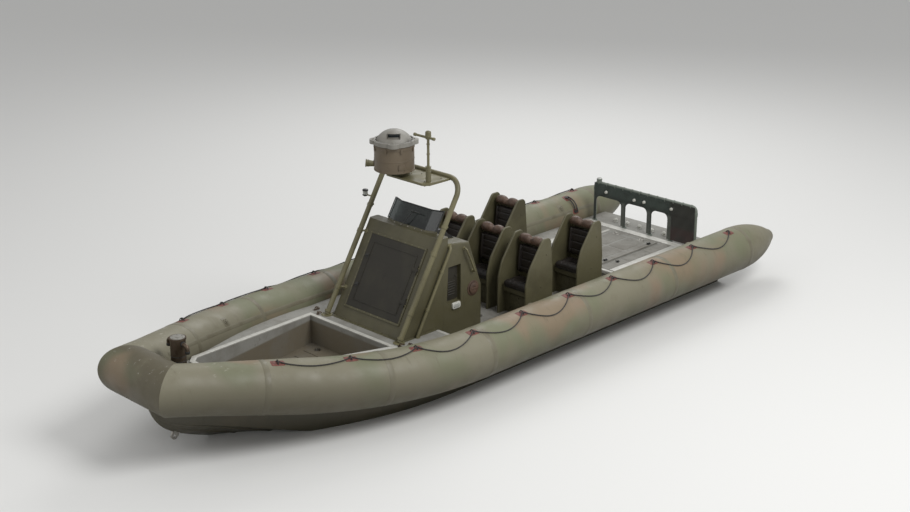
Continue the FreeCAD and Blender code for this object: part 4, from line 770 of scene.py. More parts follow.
def make_collar_looks():
    chance = random.Random(11)
    for side, where in SIDES:
        tapes = Form()
        for run in SEAM_RUNS:
            collar_ring(tapes, side, run, 0.075, 0.0028)
        collar_strip(tapes, side, (0.05, COLLAR_RUN - 0.4), (-62, -62), 0.055, 0.0026)
        tapes.done("collar_tapes_" + where, "tape")

        tabs, loops = Form(), Form()
        half = 5.6
        for run in TAB_RUNS:
            collar_patch(tabs, side, run, TAB_ANGLE, 0.17, 0.12, 0.006)
            run += 0.004
            loops.tube([on_collar(side, run, TAB_ANGLE + half * cos(turn),
                                  0.003 + 0.034 * sin(turn)) for turn in steps(0, pi, 12)],
                       0.0062, 8)
            for angle in (TAB_ANGLE - half, TAB_ANGLE + half):
                foot, axis = seat_on_collar(side, run, angle)
                loops.disc(0.013, 0.006, foot + axis * 0.004, axis, 0.002, 16)
        tabs.done("lifeline_tabs_" + where, "patch")
        loops.done("lifeline_loops_" + where, "black")

        rope = Form()
        points = lifeline_path(side, chance)
        laid_rope(rope, points, ROPE_R)
        knot = [(0.0, -0.012), (0.012, -0.008), (0.0145, 0.0), (0.012, 0.010), (0.0, 0.014)]
        for end, follow in ((points[0], points[1]), (points[-1], points[-2])):
            away = (end - follow).normalized()
            rope.lathe(knot, end + away * 0.006, away, 14)
        rope.done("lifeline_" + where, "rope")

        valves = Form()
        for run in VALVE_RUNS:
            collar_patch(valves, side, run, VALVE_ANGLE, 0.13, 0.13, 0.005)
            valves.lathe([(0.038, 0.003), (0.040, 0.009), (0.034, 0.014), (0.030, 0.014),
                          (0.026, 0.010), (0.020, 0.010), (0.018, 0.020), (0.010, 0.023),
                          (0.0, 0.023)], *seat_on_collar(side, run, VALVE_ANGLE), 28)
        valves.done("inflation_valves_" + where, "tape")

        strip = collar_strip(Form(), side, (0.15, COLLAR_RUN - 0.5), (-134, -118), 0.05, 0.010)
        strip.done("collar_bolt_rope_" + where, "tape")


def make_tail_cone_looks():
    length = TAIL_X - TAIL_CAP_X
    slope = (COLLAR_R - TAIL_CAP_R) / length
    for side, where in SIDES:
        rings = Form()
        for share, wide in ((0.985, 0.05), (0.5, 0.06)):
            radius = COLLAR_R - slope * length * share + 0.0035
            fore_r = radius + slope * wide
            rings.lathe([(radius - 0.006, 0.0), (radius, 0.003), (fore_r, wide - 0.003),
                         (fore_r - 0.006, wide)],
                        (TAIL_X - length * share, side * BEND_START.y, BEND_START.z), AHEAD, 64)
        rings.done("tail_cone_bands_" + where, "tape")


def make_grab_strap():
    """The dark rubber grip that hangs inside the far tube, under a tab."""
    run, side = 0.61, -1
    tab = collar_patch(Form(), side, run, -20, 0.15, 0.13, 0.006)
    collar_patch(tab, side, run, -66, 0.13, 0.09, 0.005).done("grip_pads_starboard", "patch")
    strap = Form()
    for across in (-0.028, 0.028):
        strap.tube([on_collar(side, run + across, -18 - 50 * share,
                              0.008 + 0.030 * sin(pi * share) ** 0.6)
                    for share in steps(0, 1, 14)], 0.0095, 10)
    for angle in (-19, -67):
        seat, away = seat_on_collar(side, run, angle)
        strap.plate(0.085, 0.040, 0.012, 0.014, seat + away * 0.004, AHEAD, away.cross(AHEAD),
                    0.004)
    strap.done("grip_strap_starboard", "black")


# Seats: simulated cushions and backs, a head roll with two lobes, and edge beading

RECLINE = Matrix.Rotation(-radians(5), 4, "Y")
PAD_HALF = 0.2345


def baked(piece, kind, **settings):
    """Gives a piece the mesh that a modifier makes of it."""
    modifier = piece.modifiers.new(kind, kind)
    for key, value in settings.items():
        setattr(modifier, key, value)
    depsgraph = bpy.context.evaluated_depsgraph_get()
    mesh = bpy.data.meshes.new_from_object(piece.evaluated_get(depsgraph))
    paint = piece.data.materials[0]
    piece.modifiers.clear()
    piece.data = mesh
    mesh.materials.clear()
    mesh.materials.append(paint)
    return mesh


def puffed(piece, cap, smooth=4):
    """Fills a soft form: remeshed, blown up as cloth, each point held within the cap."""
    scene = bpy.context.scene
    mesh = baked(piece, "REMESH", mode="VOXEL", voxel_size=0.006)
    start = [vert.co.copy() for vert in mesh.vertices]
    settings = piece.modifiers.new("cloth", "CLOTH").settings
    settings.quality = 4
    settings.mass = 0.3
    settings.use_pressure = True
    settings.uniform_pressure_force = 4.0
    settings.effector_weights.gravity = 0.0
    for step in range(1, 21):
        scene.frame_set(step)
    swollen = piece.evaluated_get(bpy.context.evaluated_depsgraph_get())
    moved = [vert.co.copy() for vert in swollen.to_mesh().vertices]
    swollen.to_mesh_clear()
    piece.modifiers.clear()
    scene.frame_set(1)
    for vert, first, last in zip(mesh.vertices, start, moved):
        shift = last - first
        if shift.length > cap:
            shift *= cap / shift.length
        vert.co = first + shift
    work = bmesh.new()
    work.from_mesh(mesh)
    for turn in range(smooth):
        bmesh.ops.smooth_vert(work, verts=work.verts, factor=0.5, use_axis_x=True, use_axis_y=True,
                              use_axis_z=True)
    bmesh.ops.recalc_face_normals(work, faces=work.faces)
    work.to_mesh(mesh)
    work.free()
    mesh = baked(piece, "SUBSURF", levels=1, render_levels=1)
    mesh.polygons.foreach_set("use_smooth", [True] * len(mesh.polygons))
    return mesh.vertices


def groove(vert, distance, depth, wide, inward):
    vert.co += inward * depth * exp(-(distance / wide) ** 2)


def held(vert, low_x=-9.0, high_x=9.0, low_z=-9.0, high_z=9.0):
    """Keeps a point of a pad inside its shell."""
    x, y, z = vert.co
    vert.co = (min(max(x, low_x), high_x), min(max(y, -PAD_HALF), PAD_HALF),
               min(max(z, low_z), high_z))


def seat_pad():
    """The pad at x 0, y 0: a crowned form with two long channels and a front roll."""
    pad = Form().box((0.352, 0.430, 0.078), (0.084, 0, PAN_Z + 0.055), soft=0.03)
    pad.box((0.070, 0.430, 0.094), (0.218, 0, PAN_Z + 0.056), soft=0.033)
    piece = pad.done("seat_pad_master", "upholstery")
    for vert in puffed(piece, 0.022):
        x, y, z = vert.co
        if z > PAN_Z + 0.06:
            for line in (-0.095, 0.095):
                groove(vert, y - line, 0.008, 0.007, -UP)
            groove(vert, x - 0.168, 0.009, 0.008, -UP)
        held(vert, -0.110, 0.283, PAN_Z + 0.001, PAN_Z + 0.122)
    return piece


def back_x(z):
    """Front of the seat's moulded back at a height, for a seat at x 0."""
    return -0.0515 * (z - PAN_Z) / 0.59 - 0.1095


def back_pad():
    """The backrest at x 0, y 0, with three cross channels and side rolls."""
    pad = Form()
    low, high = 0.936, 1.372
    middle = (low + high) / 2
    pad.box((0.062, 0.400, high - low), (back_x(middle) + 0.040, 0, middle), RECLINE, 0.026)
    for y in (0.186, -0.186):
        pad.box((0.092, 0.070, high - low - 0.02), (back_x(middle) + 0.055, y, middle), RECLINE,
                0.032)
    piece = pad.done("back_pad_master", "upholstery")
    for vert in puffed(piece, 0.018):
        x, y, z = vert.co
        if x > back_x(z) + 0.035:
            if abs(y) < 0.158:
                for line in (1.045, 1.155, 1.265):
                    groove(vert, z - line, 0.009, 0.008, AFT)
            groove(vert, abs(y) - 0.152, 0.010, 0.008, AFT)
        held(vert, back_x(vert.co.z) + 0.0012)
    return piece


def head_roll():
    """Two rounded lobes on one roll, at x 0, y 0."""
    z = 1.440
    x = back_x(z) + 0.062
    roll = Form().box((0.112, 0.440, 0.088), (x, 0, z - 0.004), RECLINE, 0.036)
    half = [(0.066, 0.0), (0.063, 0.034), (0.052, 0.070), (0.030, 0.092), (0.0, 0.098)]
    lobe = [(radius, -along) for radius, along in half[:0:-1]] + half
    for y in (0.112, -0.112):
        roll.lathe(lobe, (x + 0.006, y, z + 0.014), PORT, 28)
    piece = roll.done("head_roll_master", "bolster")
    for vert in puffed(piece, 0.010, 5):
        y = vert.co.y
        inward = (Vector((back_x(1.45) + 0.06, y, 1.445)) - vert.co).normalized()
        groove(vert, y, 0.010, 0.012, inward)
        groove(vert, abs(y) - 0.212, 0.005, 0.006, inward)
        held(vert, back_x(vert.co.z) + 0.0012, high_z=1.530)
    return piece


def edge_loop(piece, height):
    """Points round a pad at a height, found on its own surface."""
    tree = BVHTree.FromObject(piece, bpy.context.evaluated_depsgraph_get())
    points = []
    for way in circle(72, 1.0):
        spot = tree.ray_cast(Vector((0.084, 0.0, height)) + way * 0.6, -way)[0]
        if spot:
            points.append(spot + way * 0.0015)
    return points


# x, z and corner radius of a seat wing's free edge
WING_OUTLINE = ((0.290, 0.420, 0.0), (0.290, 0.930, 0.07), (0.225, 1.150, 0.32),
                (-0.035, 1.512, 0.055), (-0.175, 1.512, 0.055), (-0.225, 1.000, 0.16),
                (-0.225, 0.420, 0.0))


def wing_edge():
    """The wing's free edge, its corners rounded as the shell's are."""
    points = []
    for i, (x, z, bend) in enumerate(WING_OUTLINE):
        here = Vector((x, z))
        if not bend:
            points.append(here)
            continue
        back = (Vector(WING_OUTLINE[i - 1][:2]) - here).normalized()
        ahead = (Vector(WING_OUTLINE[i + 1][:2]) - here).normalized()
        half = back.angle(ahead) / 2
        cut = bend / tan(half)
        centre = here + (back + ahead).normalized() * bend / sin(half)
        first = here + back * cut - centre
        sweep = first.angle_signed(here + ahead * cut - centre)
        points += [centre + Matrix.Rotation(turn, 2) @ first for turn in steps(0, -sweep, 8)]
    return points


def make_seat_looks():
    pads = [("seat_pad_", seat_pad(), "seat_cushion_", 0.7),
            ("seat_back_pad_", back_pad(), "seat_backrest_", 0.7),
            ("seat_head_roll_", head_roll(), None, 0.9)]
    for name, master, node_name, fill in pads:
        baked(master, "DECIMATE", ratio=0.36)
    for seat in SEATS:
        row, where = seat.split("_")
        at = Vector((SEAT_X[row], SEAT_Y[where], 0))
        for name, master, node_name, fill in pads:
            mesh = master.data.copy()
            mesh.transform(Matrix.Translation(at))
            piece = listed(name + seat, mesh)
            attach(piece, "root")
            if node_name:
                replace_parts(piece, node_name + seat)

        piping = Form()
        for height in (PAN_Z + 0.088, PAN_Z + 0.026):
            loop = [point + at for point in edge_loop(pads[0][1], height)]
            piping.tube(loop, 0.0034, 7, closed=True)
        piping.done("seat_piping_" + seat, "black", slot="upholstery")

        beads, trim, grips = Form(), Form(), Form()
        face = at + Vector((0.155, 0, 0.585))
        trim.plate(0.34, 0.22, 0.02, 0.006, face, PORT, UP, 0.002)
        trim.bolts([face + Vector((0.006, u, v)) for u in (-0.15, 0.15) for v in (-0.09, 0.09)],
                   AHEAD, 0.006, 0.004)
        trim.disc(0.016, 0.008, face + Vector((0.006, 0, 0.070)), AHEAD)
        for u in (-0.07, 0.0, 0.07):
            for v in (0.015, -0.010):
                trim.box((0.005, 0.045, 0.008), face + Vector((0.007, u, v)), soft=0.002)
        rear = at + Vector((back_x(1.34) - 0.052, 0, 1.32))
        for side in (1, -1):
            middle = side * (SEAT_HALF - WING / 2)
            beads.tube([at + Vector((point.x, middle, point.y)) for point in wing_edge()], 0.0178)
            wall, out = at + PORT * side * SEAT_HALF, PORT * side
            trim.bolts([wall + Vector((x, 0, 0.46)) for x in (-0.17, -0.04, 0.09, 0.22)],
                       out, 0.008, 0.005)
            trim.bolts([wall + Vector((0, 0, 0.86)), wall + Vector((-0.10, 0, 1.30))],
                       out, 0.010, 0.006)
            grips.disc(0.022, 0.005, rear + Vector((-0.003, side * 0.14, 0)), (-1, 0, 0.08), 0.001,
                       20)
        beads.done("seat_beading_" + seat, "wing")
        trim.done("seat_trim_" + seat, "wing")
        half = [(0.004, 0.14, 0.0), (-0.028, 0.14, 0.002), (-0.040, 0.125, 0.004)]
        bar = ([(x, -y, z) for x, y, z in half] + [(-0.042, 0, 0.006)] + half[::-1])
        grips.tube([rear + Vector(spot) for spot in bar], 0.011, 12)
        grips.done("seat_back_grip_" + seat, "black")
    for name, master, node_name, fill in pads:
        bpy.data.objects.remove(master)


# Console, dashboard and windscreen

FRONT_FOOT = Vector((1.647, 0, 0.650))
FRONT_UP = (Vector((0.959, 0, 1.858)) - FRONT_FOOT).normalized()
FRONT_OUT = PORT.cross(FRONT_UP)


def on_front(y, rise, lift=0.0):
    return FRONT_FOOT + PORT * y + FRONT_UP * rise + FRONT_OUT * lift


def make_console_looks():
    half, foot, top = 0.500, 0.190, 1.200
    middle, high = (foot + top) / 2, top - foot
    lip = Form().surround(2 * half + 0.004, high + 0.004, 0.030, 0.013,
                          placed(on_front(0, middle, 0.0005), PORT, FRONT_UP), 0.004)
    lip.done("front_panel_lip", "console")

    edge = half + 0.015
    spots = [(y, rise) for y in steps(-edge, edge, 8) for rise in (foot - 0.015, top + 0.015)]
    spots += [(y, rise) for y in (edge, -edge) for rise in steps(foot, top, 8)[1:-1]]
    screws = Form().bolts([on_front(*spot, 0.0135) for spot in spots], FRONT_OUT, 0.0065, 0.004)
    screws.done("front_panel_screws", "arch", slot="fitting")

    ribs, latch = Form(), Form()
    for rise in (foot + 0.10, top - 0.10):
        ribs.plate(2 * half - 0.16, 0.016, 0.006, 0.006, on_front(0, rise, 0.010), PORT, FRONT_UP,
                   0.002)
    for y in (half - 0.088, 0.088 - half):
        ribs.plate(0.016, high - 0.216, 0.006, 0.006, on_front(y, middle, 0.010), PORT, FRONT_UP,
                   0.002)
    for rise in (foot + 0.28, top - 0.28):
        ribs.plate(0.11, 0.05, 0.012, 0.012, on_front(half - 0.035, rise, 0.010), PORT, FRONT_UP,
                   0.003)
        ribs.lathe([(0.010, -0.06), (0.010, 0.06)], on_front(half - 0.004, rise, 0.022), FRONT_UP,
                   16)
    ribs.done("front_panel_ribs", "dark_panel")
    for rise in (foot + 0.30, top - 0.30):
        latch.disc(0.030, 0.010, on_front(0.06 - half, rise, 0.010), FRONT_OUT, 0.003, 28)
        latch.plate(0.072, 0.016, 0.006, 0.014, on_front(0.06 - half, rise, 0.018),
                    PORT + FRONT_UP * 0.4, FRONT_UP, 0.003)
    latch.done("front_panel_latches", "black")

    skirt = Form().bolts([(1.672, y, 0.6575) for y in steps(-0.60, 0.60, 8)], UP, 0.009, 0.007)
    skirt.plate(0.050, 2 * CONSOLE_HALF, 0.01, 0.006, (1.674, 0, 0.6505), AHEAD, PORT, 0.002)
    for side, where in SIDES:
        middle_y, bolt_y = side * (CONSOLE_HALF + 0.022), side * (CONSOLE_HALF + 0.026)
        for x, long, z, bolts_x in ((1.36, 0.60, 0.6505, steps(1.14, 1.58, 4)),
                                    (0.62, 0.84, 0.4205, steps(0.24, 0.99, 6))):
            skirt.plate(long, 0.045, 0.01, 0.006, (x, middle_y, z), AHEAD, PORT, 0.002)
            skirt.bolts([(bolt_x, bolt_y, z + 0.006) for bolt_x in bolts_x], UP, 0.008, 0.006)
    skirt.done("console_foot_flange", "console")

    # Side lockers: a door set in each recess, with louvres, a round filler cap and a low lamp
    for side, where in SIDES:
        out, back = PORT * side, AFT * side
        spot = Vector((0.702, side * (CONSOLE_HALF - 0.060), 1.185))
        doors = Form().plate(0.205, 0.455, 0.02, 0.012, spot, back, UP, 0.003)
        for z in steps(-0.15, 0.025, 5):
            doors.box((0.130, 0.010, 0.012), spot + out * 0.015 + Vector((0.01, 0, z)),
                      Matrix.Rotation(side * radians(28), 4, "X"), 0.003)
        doors.disc(0.017, 0.010, spot + out * 0.012 + Vector((-0.075, 0, 0.09)), out, 0.003, 20)
        doors.done("locker_door_" + where, "dark_panel")
        spot = Vector((0.350, side * CONSOLE_HALF, 1.040))
        cap = Form().lathe([(0.106, 0.0), (0.106, 0.006), (0.096, 0.010), (0.080, 0.010),
                            (0.078, 0.024), (0.070, 0.029), (0.030, 0.029), (0.027, 0.024),
                            (0.0, 0.024)], spot, out, 44)
        cap.bolts([spot + out * 0.009 + way for way in circle(4, 0.089, 45, AHEAD, UP)], out,
                  0.005, 0.003)
        cap.box((0.110, 0.010, 0.018), spot + out * 0.030, None, 0.003)
        cap.done("filler_cap_" + where, "bolster")
        spot = Vector((0.676, side * CONSOLE_HALF, 0.886))
        lamp = Form().plate(0.145, 0.082, 0.018, 0.022, spot, back, UP, 0.005)
        lamp.done("courtesy_lamp_" + where, "white")
        glass = Form().plate(0.108, 0.048, 0.014, 0.006, spot + out * 0.021, back, UP, 0.002)
        glass.done("courtesy_lens_" + where, "clear_lens")

    rail = Form()
    top_z, foot_z = 1.640, 1.284
    bar = ((0.52, -0.004, top_z), (0.52, 0.035, top_z), (0.515, 0.050, 1.625), (0.44, 0.052, 1.47),
           (0.365, 0.052, 1.30), (0.358, 0.036, 1.285), (0.357, -0.004, foot_z))
    for side, where in SIDES:
        rail.tube([(x, side * (CONSOLE_HALF + out), z) for x, out, z in bar], 0.013, 14)
        for x, z in ((0.52, top_z), (0.357, foot_z)):
            rail.disc(0.026, 0.005, (x, side * CONSOLE_HALF, z), PORT * side, 0.0015, 24)
    rail.done("console_side_grips", "arch")


def make_dashboard_looks():
    """Instruments on the sloping face toward the helm."""
    foot, right = Vector((0.445, 0, 1.7065)), -PORT
    up = (Vector((0.680, 0, CONSOLE_TOP_Z)) - foot).normalized()
    out = right.cross(up)

    def at(y, rise, lift=0.0):
        return foot + PORT * y + up * rise + out * lift

    bezels, faces, marks = Form(), Form(), Form()
    for y, rise, radius in ((0.340, 0.150, 0.052), (0.220, 0.165, 0.040), (-0.230, 0.165, 0.040),
                            (-0.345, 0.150, 0.052)):
        bezels.lathe([(radius + 0.007, 0.0), (radius + 0.007, 0.005), (radius + 0.003, 0.010),
                      (radius - 0.002, 0.010), (radius - 0.003, 0.004)], at(y, rise), out, 40)
        faces.disc(radius - 0.002, 0.005, at(y, rise), out, 0.001, 40)
        for k, turn in enumerate(steps(-135, 135, 12)):
            way = right * sin(radians(turn)) + up * cos(radians(turn))
            spot = at(y, rise, 0.005) + way * (radius - 0.012)
            marks.plate(0.0018, 0.006 if k % 3 else 0.010, 0, 0.0008, spot, way.cross(out), way)
        way = right * sin(radians(-50)) + up * cos(radians(-50))
        tip = radius * 0.66
        marks.prism([(-0.002, -0.008), (0.002, -0.008), (0.0008, tip), (-0.0008, tip)], 0.001,
                    placed(at(y, rise, 0.0056), way.cross(out), way))
        marks.disc(0.005, 0.003, at(y, rise, 0.005), out, 0.001, 16)
    bezels.plate(0.280, 0.176, 0.014, 0.010, at(0, 0.160), right, up, 0.004)
    for y in steps(-0.10, 0.10, 5):
        bezels.plate(0.022, 0.009, 0.003, 0.004, at(y, 0.082, 0.010), right, up, 0.001)
    for y in steps(0.385, -0.385, 11):
        bezels.plate(0.030, 0.020, 0.004, 0.004, at(y, 0.036), right, up, 0.0015)
        bezels.plate(0.016, 0.010, 0.002, 0.009, at(y, 0.036, 0.003), right, up + out * 0.3,
                     0.0015)
    bezels.done("dash_bezels", "black")
    faces.done("dash_faces", "black")
    marks.done("dash_marks", "white")
    display = Form().plate(0.250, 0.140, 0.006, 0.002, at(0, 0.166, 0.010), right, up)
    display.done("dash_display", "screen_face")

    seat = Vector((0.722, 0.0, CONSOLE_TOP_Z))
    compass = Form().lathe([(0.058, 0.0), (0.058, 0.010), (0.050, 0.018), (0.046, 0.018)], seat,
                           UP, 36)
    compass.done("compass_ring", "black")
    bowl = Form().lathe([(0.046, 0.014), (0.044, 0.026), (0.036, 0.038), (0.022, 0.047),
                         (0.0, 0.050)], seat)
    bowl.done("compass_bowl", "screen_face")

    # Helm side of the console: access doors, breaker panel, foot rest
    knee = Vector((0.180, 0, 1.050))
    rise = (Vector((0.410, 0, 1.700)) - knee).normalized()
    outward = right.cross(rise)
    face, switches, rest = Form(), Form(), Form()
    for y in (0.42, -0.42):
        face.plate(0.36, 0.40, 0.03, 0.012, (0.180, y, 0.750), right, UP, 0.004)
        face.disc(0.018, 0.010, (0.168, y - 0.13, 0.84), AFT, 0.003, 24)
        for z in (0.88, 0.62):
            face.plate(0.03, 0.06, 0.006, 0.008, (0.170, y + 0.165, z), right, UP, 0.002)
    face.plate(0.36, 0.22, 0.02, 0.010, knee + rise * 0.50 + PORT * 0.38, right, rise, 0.003)
    face.plate(0.30, 0.30, 0.02, 0.010, knee + rise * 0.22 + PORT * 0.42, right, rise, 0.003)
    face.done("helm_side_panels", "dark_panel")
    for up_slope in (0.445, 0.500, 0.555):
        for y in steps(0.51, 0.25, 5):
            spot = knee + rise * up_slope + PORT * y + outward * 0.010
            switches.plate(0.026, 0.032, 0.004, 0.004, spot, right, rise, 0.001)
            switches.plate(0.012, 0.018, 0.003, 0.010, spot + outward * 0.003, right,
                           rise + outward * 0.35, 0.001)
    for y in (-0.26, -0.35):
        spot = knee + rise * 0.56 + PORT * y
        switches.lathe([(0.022, 0.0), (0.022, 0.004), (0.014, 0.007), (0.014, 0.012),
                        (0.0, 0.012)], spot, outward, 24)
        switches.box((0.004, 0.020, 0.012), spot + outward * 0.014, None, 0.001)
    switches.done("breaker_switches", "black")
    half = [(0.176, 0.30, 0.56), (0.10, 0.30, 0.555), (0.075, 0.285, 0.553)]
    rest.tube([(x, -y, z) for x, y, z in half] + [(0.072, 0.0, 0.552)] + half[::-1], 0.015, 14)
    for y in (-0.30, 0.30):
        rest.disc(0.030, 0.006, (0.180, y, 0.56), AFT, 0.002, 24)
    rest.done("helm_foot_rest", "fitting")


def make_windscreen_looks():
    rake = radians(32)
    up = Vector((-sin(rake), 0, cos(rake)))
    out = PORT.cross(up)
    feet = [Vector((x, y, CONSOLE_TOP_Z))
            for x, y in ((0.818, 0.455), (0.878, 0.300), (0.878, -0.300), (0.818, -0.455))]
    crown = [foot + up * (0.245 / cos(rake)) for foot in feet]
    trim = Form()
    for first, second in zip(feet[:1] + crown, crown + feet[3:]):
        trim.tube([first, second], 0.007)
    for corner in crown:
        trim.lathe([(0.0, -0.007), (0.005, -0.005), (0.007, 0.0), (0.005, 0.005), (0.0, 0.007)],
                   corner, UP, 12)
    trim.done("screen_edge_trim", "black")
    base = Vector((0.893, -0.06, 1.905))
    tip = base + up * 0.18 + PORT * 0.09 + out * 0.010
    wiper = Form().disc(0.018, 0.016, base, out, 0.004, 20)
    wiper.tube([base + out * 0.014, base.lerp(tip, 0.5) + out * 0.012, tip], 0.0045, 8)
    wiper.box((0.008, 0.26, 0.010), tip - out * 0.002, None, 0.002)
    wiper.done("screen_wiper", "black")
    bolts = Form().bolts([(0.885, y, 1.868) for y in steps(-0.26, 0.26, 4)], (1, 0, 0.3), 0.006,
                         0.004)
    bolts.done("screen_bolts", "fitting")


# Decks, hatch and deck fittings

def foredeck_z(x):
    return FOREDECK_Z + max(0.0, x - DECK_RISE_X) * DECK_SLOPE


def grown(outline, distance):
    """A counter-clockwise outline moved outward, with mitred corners."""
    made = []
    for i, corner in enumerate(outline):
        here = Vector(corner)
        come = (here - Vector(outline[i - 1])).normalized()
        go = (Vector(outline[(i + 1) % len(outline)]) - here).normalized()
        normal = Vector((come.y + go.y, -come.x - go.x)).normalized()
        made.append(here + normal * distance / max(0.3, normal.dot(Vector((come.y, -come.x)))))
    return made


def rim_cap(outline, inner, outer, height, thick=0.0045):
    """A rounded capping that sits on a rim; height gives the rim's top at x."""
    half = ((0.0, -0.012), (-0.0025, 0.0), (0.0, thick * 0.7), (0.006, thick))
    section = [(inner + across, lift) for across, lift in half]
    section += [(outer - across, lift) for across, lift in half[::-1]]
    return Form().hoop([[(x, y, height(x) + lift) for x, y in grown(outline, reach)]
                        for reach, lift in section])


def lashing_pan(form, at, turn):
    """A flush pan with a drop ring."""
    spot = Vector(at)
    spin = Matrix.Rotation(turn, 4, "Z")
    form.lathe([(0.052, 0.0), (0.052, 0.004), (0.046, 0.006), (0.038, 0.006), (0.034, 0.002),
                (0.0, 0.002)], spot, UP, 28)
    ring = circle(16, 0.022, 0.0, spin @ AHEAD, spin @ PORT)
    form.tube([spot + way + UP * 0.0085 for way in ring], 0.0038, 8, closed=True)
    form.box((0.014, 0.026, 0.008), spot - ring[0] + UP * 0.008, spin, 0.002)


def pad_eye(form, at, turn):
    """A base plate with a bow and a shackle lying in it."""
    spot = Vector(at)
    spin = Matrix.Rotation(turn, 4, "Z")
    way, side = spin @ AHEAD, spin @ PORT
    form.box((0.105, 0.044, 0.006), spot + UP * 0.003, spin, 0.002)
    form.tube([spot + way * 0.027 * cos(angle) + UP * (0.005 + 0.038 * sin(angle))
               for angle in steps(0, pi, 12)], 0.0065)
    form.bolts([spot + way * end + UP * 0.006 for end in (-0.043, 0.043)], UP, 0.006, 0.005)
    shackle = []
    for share in steps(0, 1, 14):
        angle = pi * (share * 1.5 - 0.25)
        shackle.append(spot + side * (0.030 + 0.024 * sin(angle)) + way * 0.020 * cos(angle)
                       + UP * (0.040 - 0.036 * share * (1 - share)))
    form.tube(shackle, 0.0058, 9)


def nosing(form, x, way, y, long, z, bolts_y):
    """An angle strip along a deck's edge, facing the way given."""
    form.box((0.050, long, 0.006), (x + way * 0.024, y, z + 0.003), None, 0.002)
    form.box((0.006, long, 0.050), (x - way * 0.004, y, z - 0.020), None, 0.002)
    form.bolts([(x + way * 0.024, bolt_y, z + 0.0055) for bolt_y in bolts_y], UP, 0.006, 0.003)


def drain(form, at, rim, lip, hole):
    form.lathe([(rim, 0.0), (rim, 0.005), (lip, 0.007), (hole, 0.007), (hole, 0.003),
                (0.0, 0.003)], at, UP, 28)
    for k in range(-2, 3):
        form.box((2 * hole - 0.004 - 0.012 * abs(k), 0.005, 0.004),
                 Vector(at) + Vector((0, 0.011 * k, 0.005)))


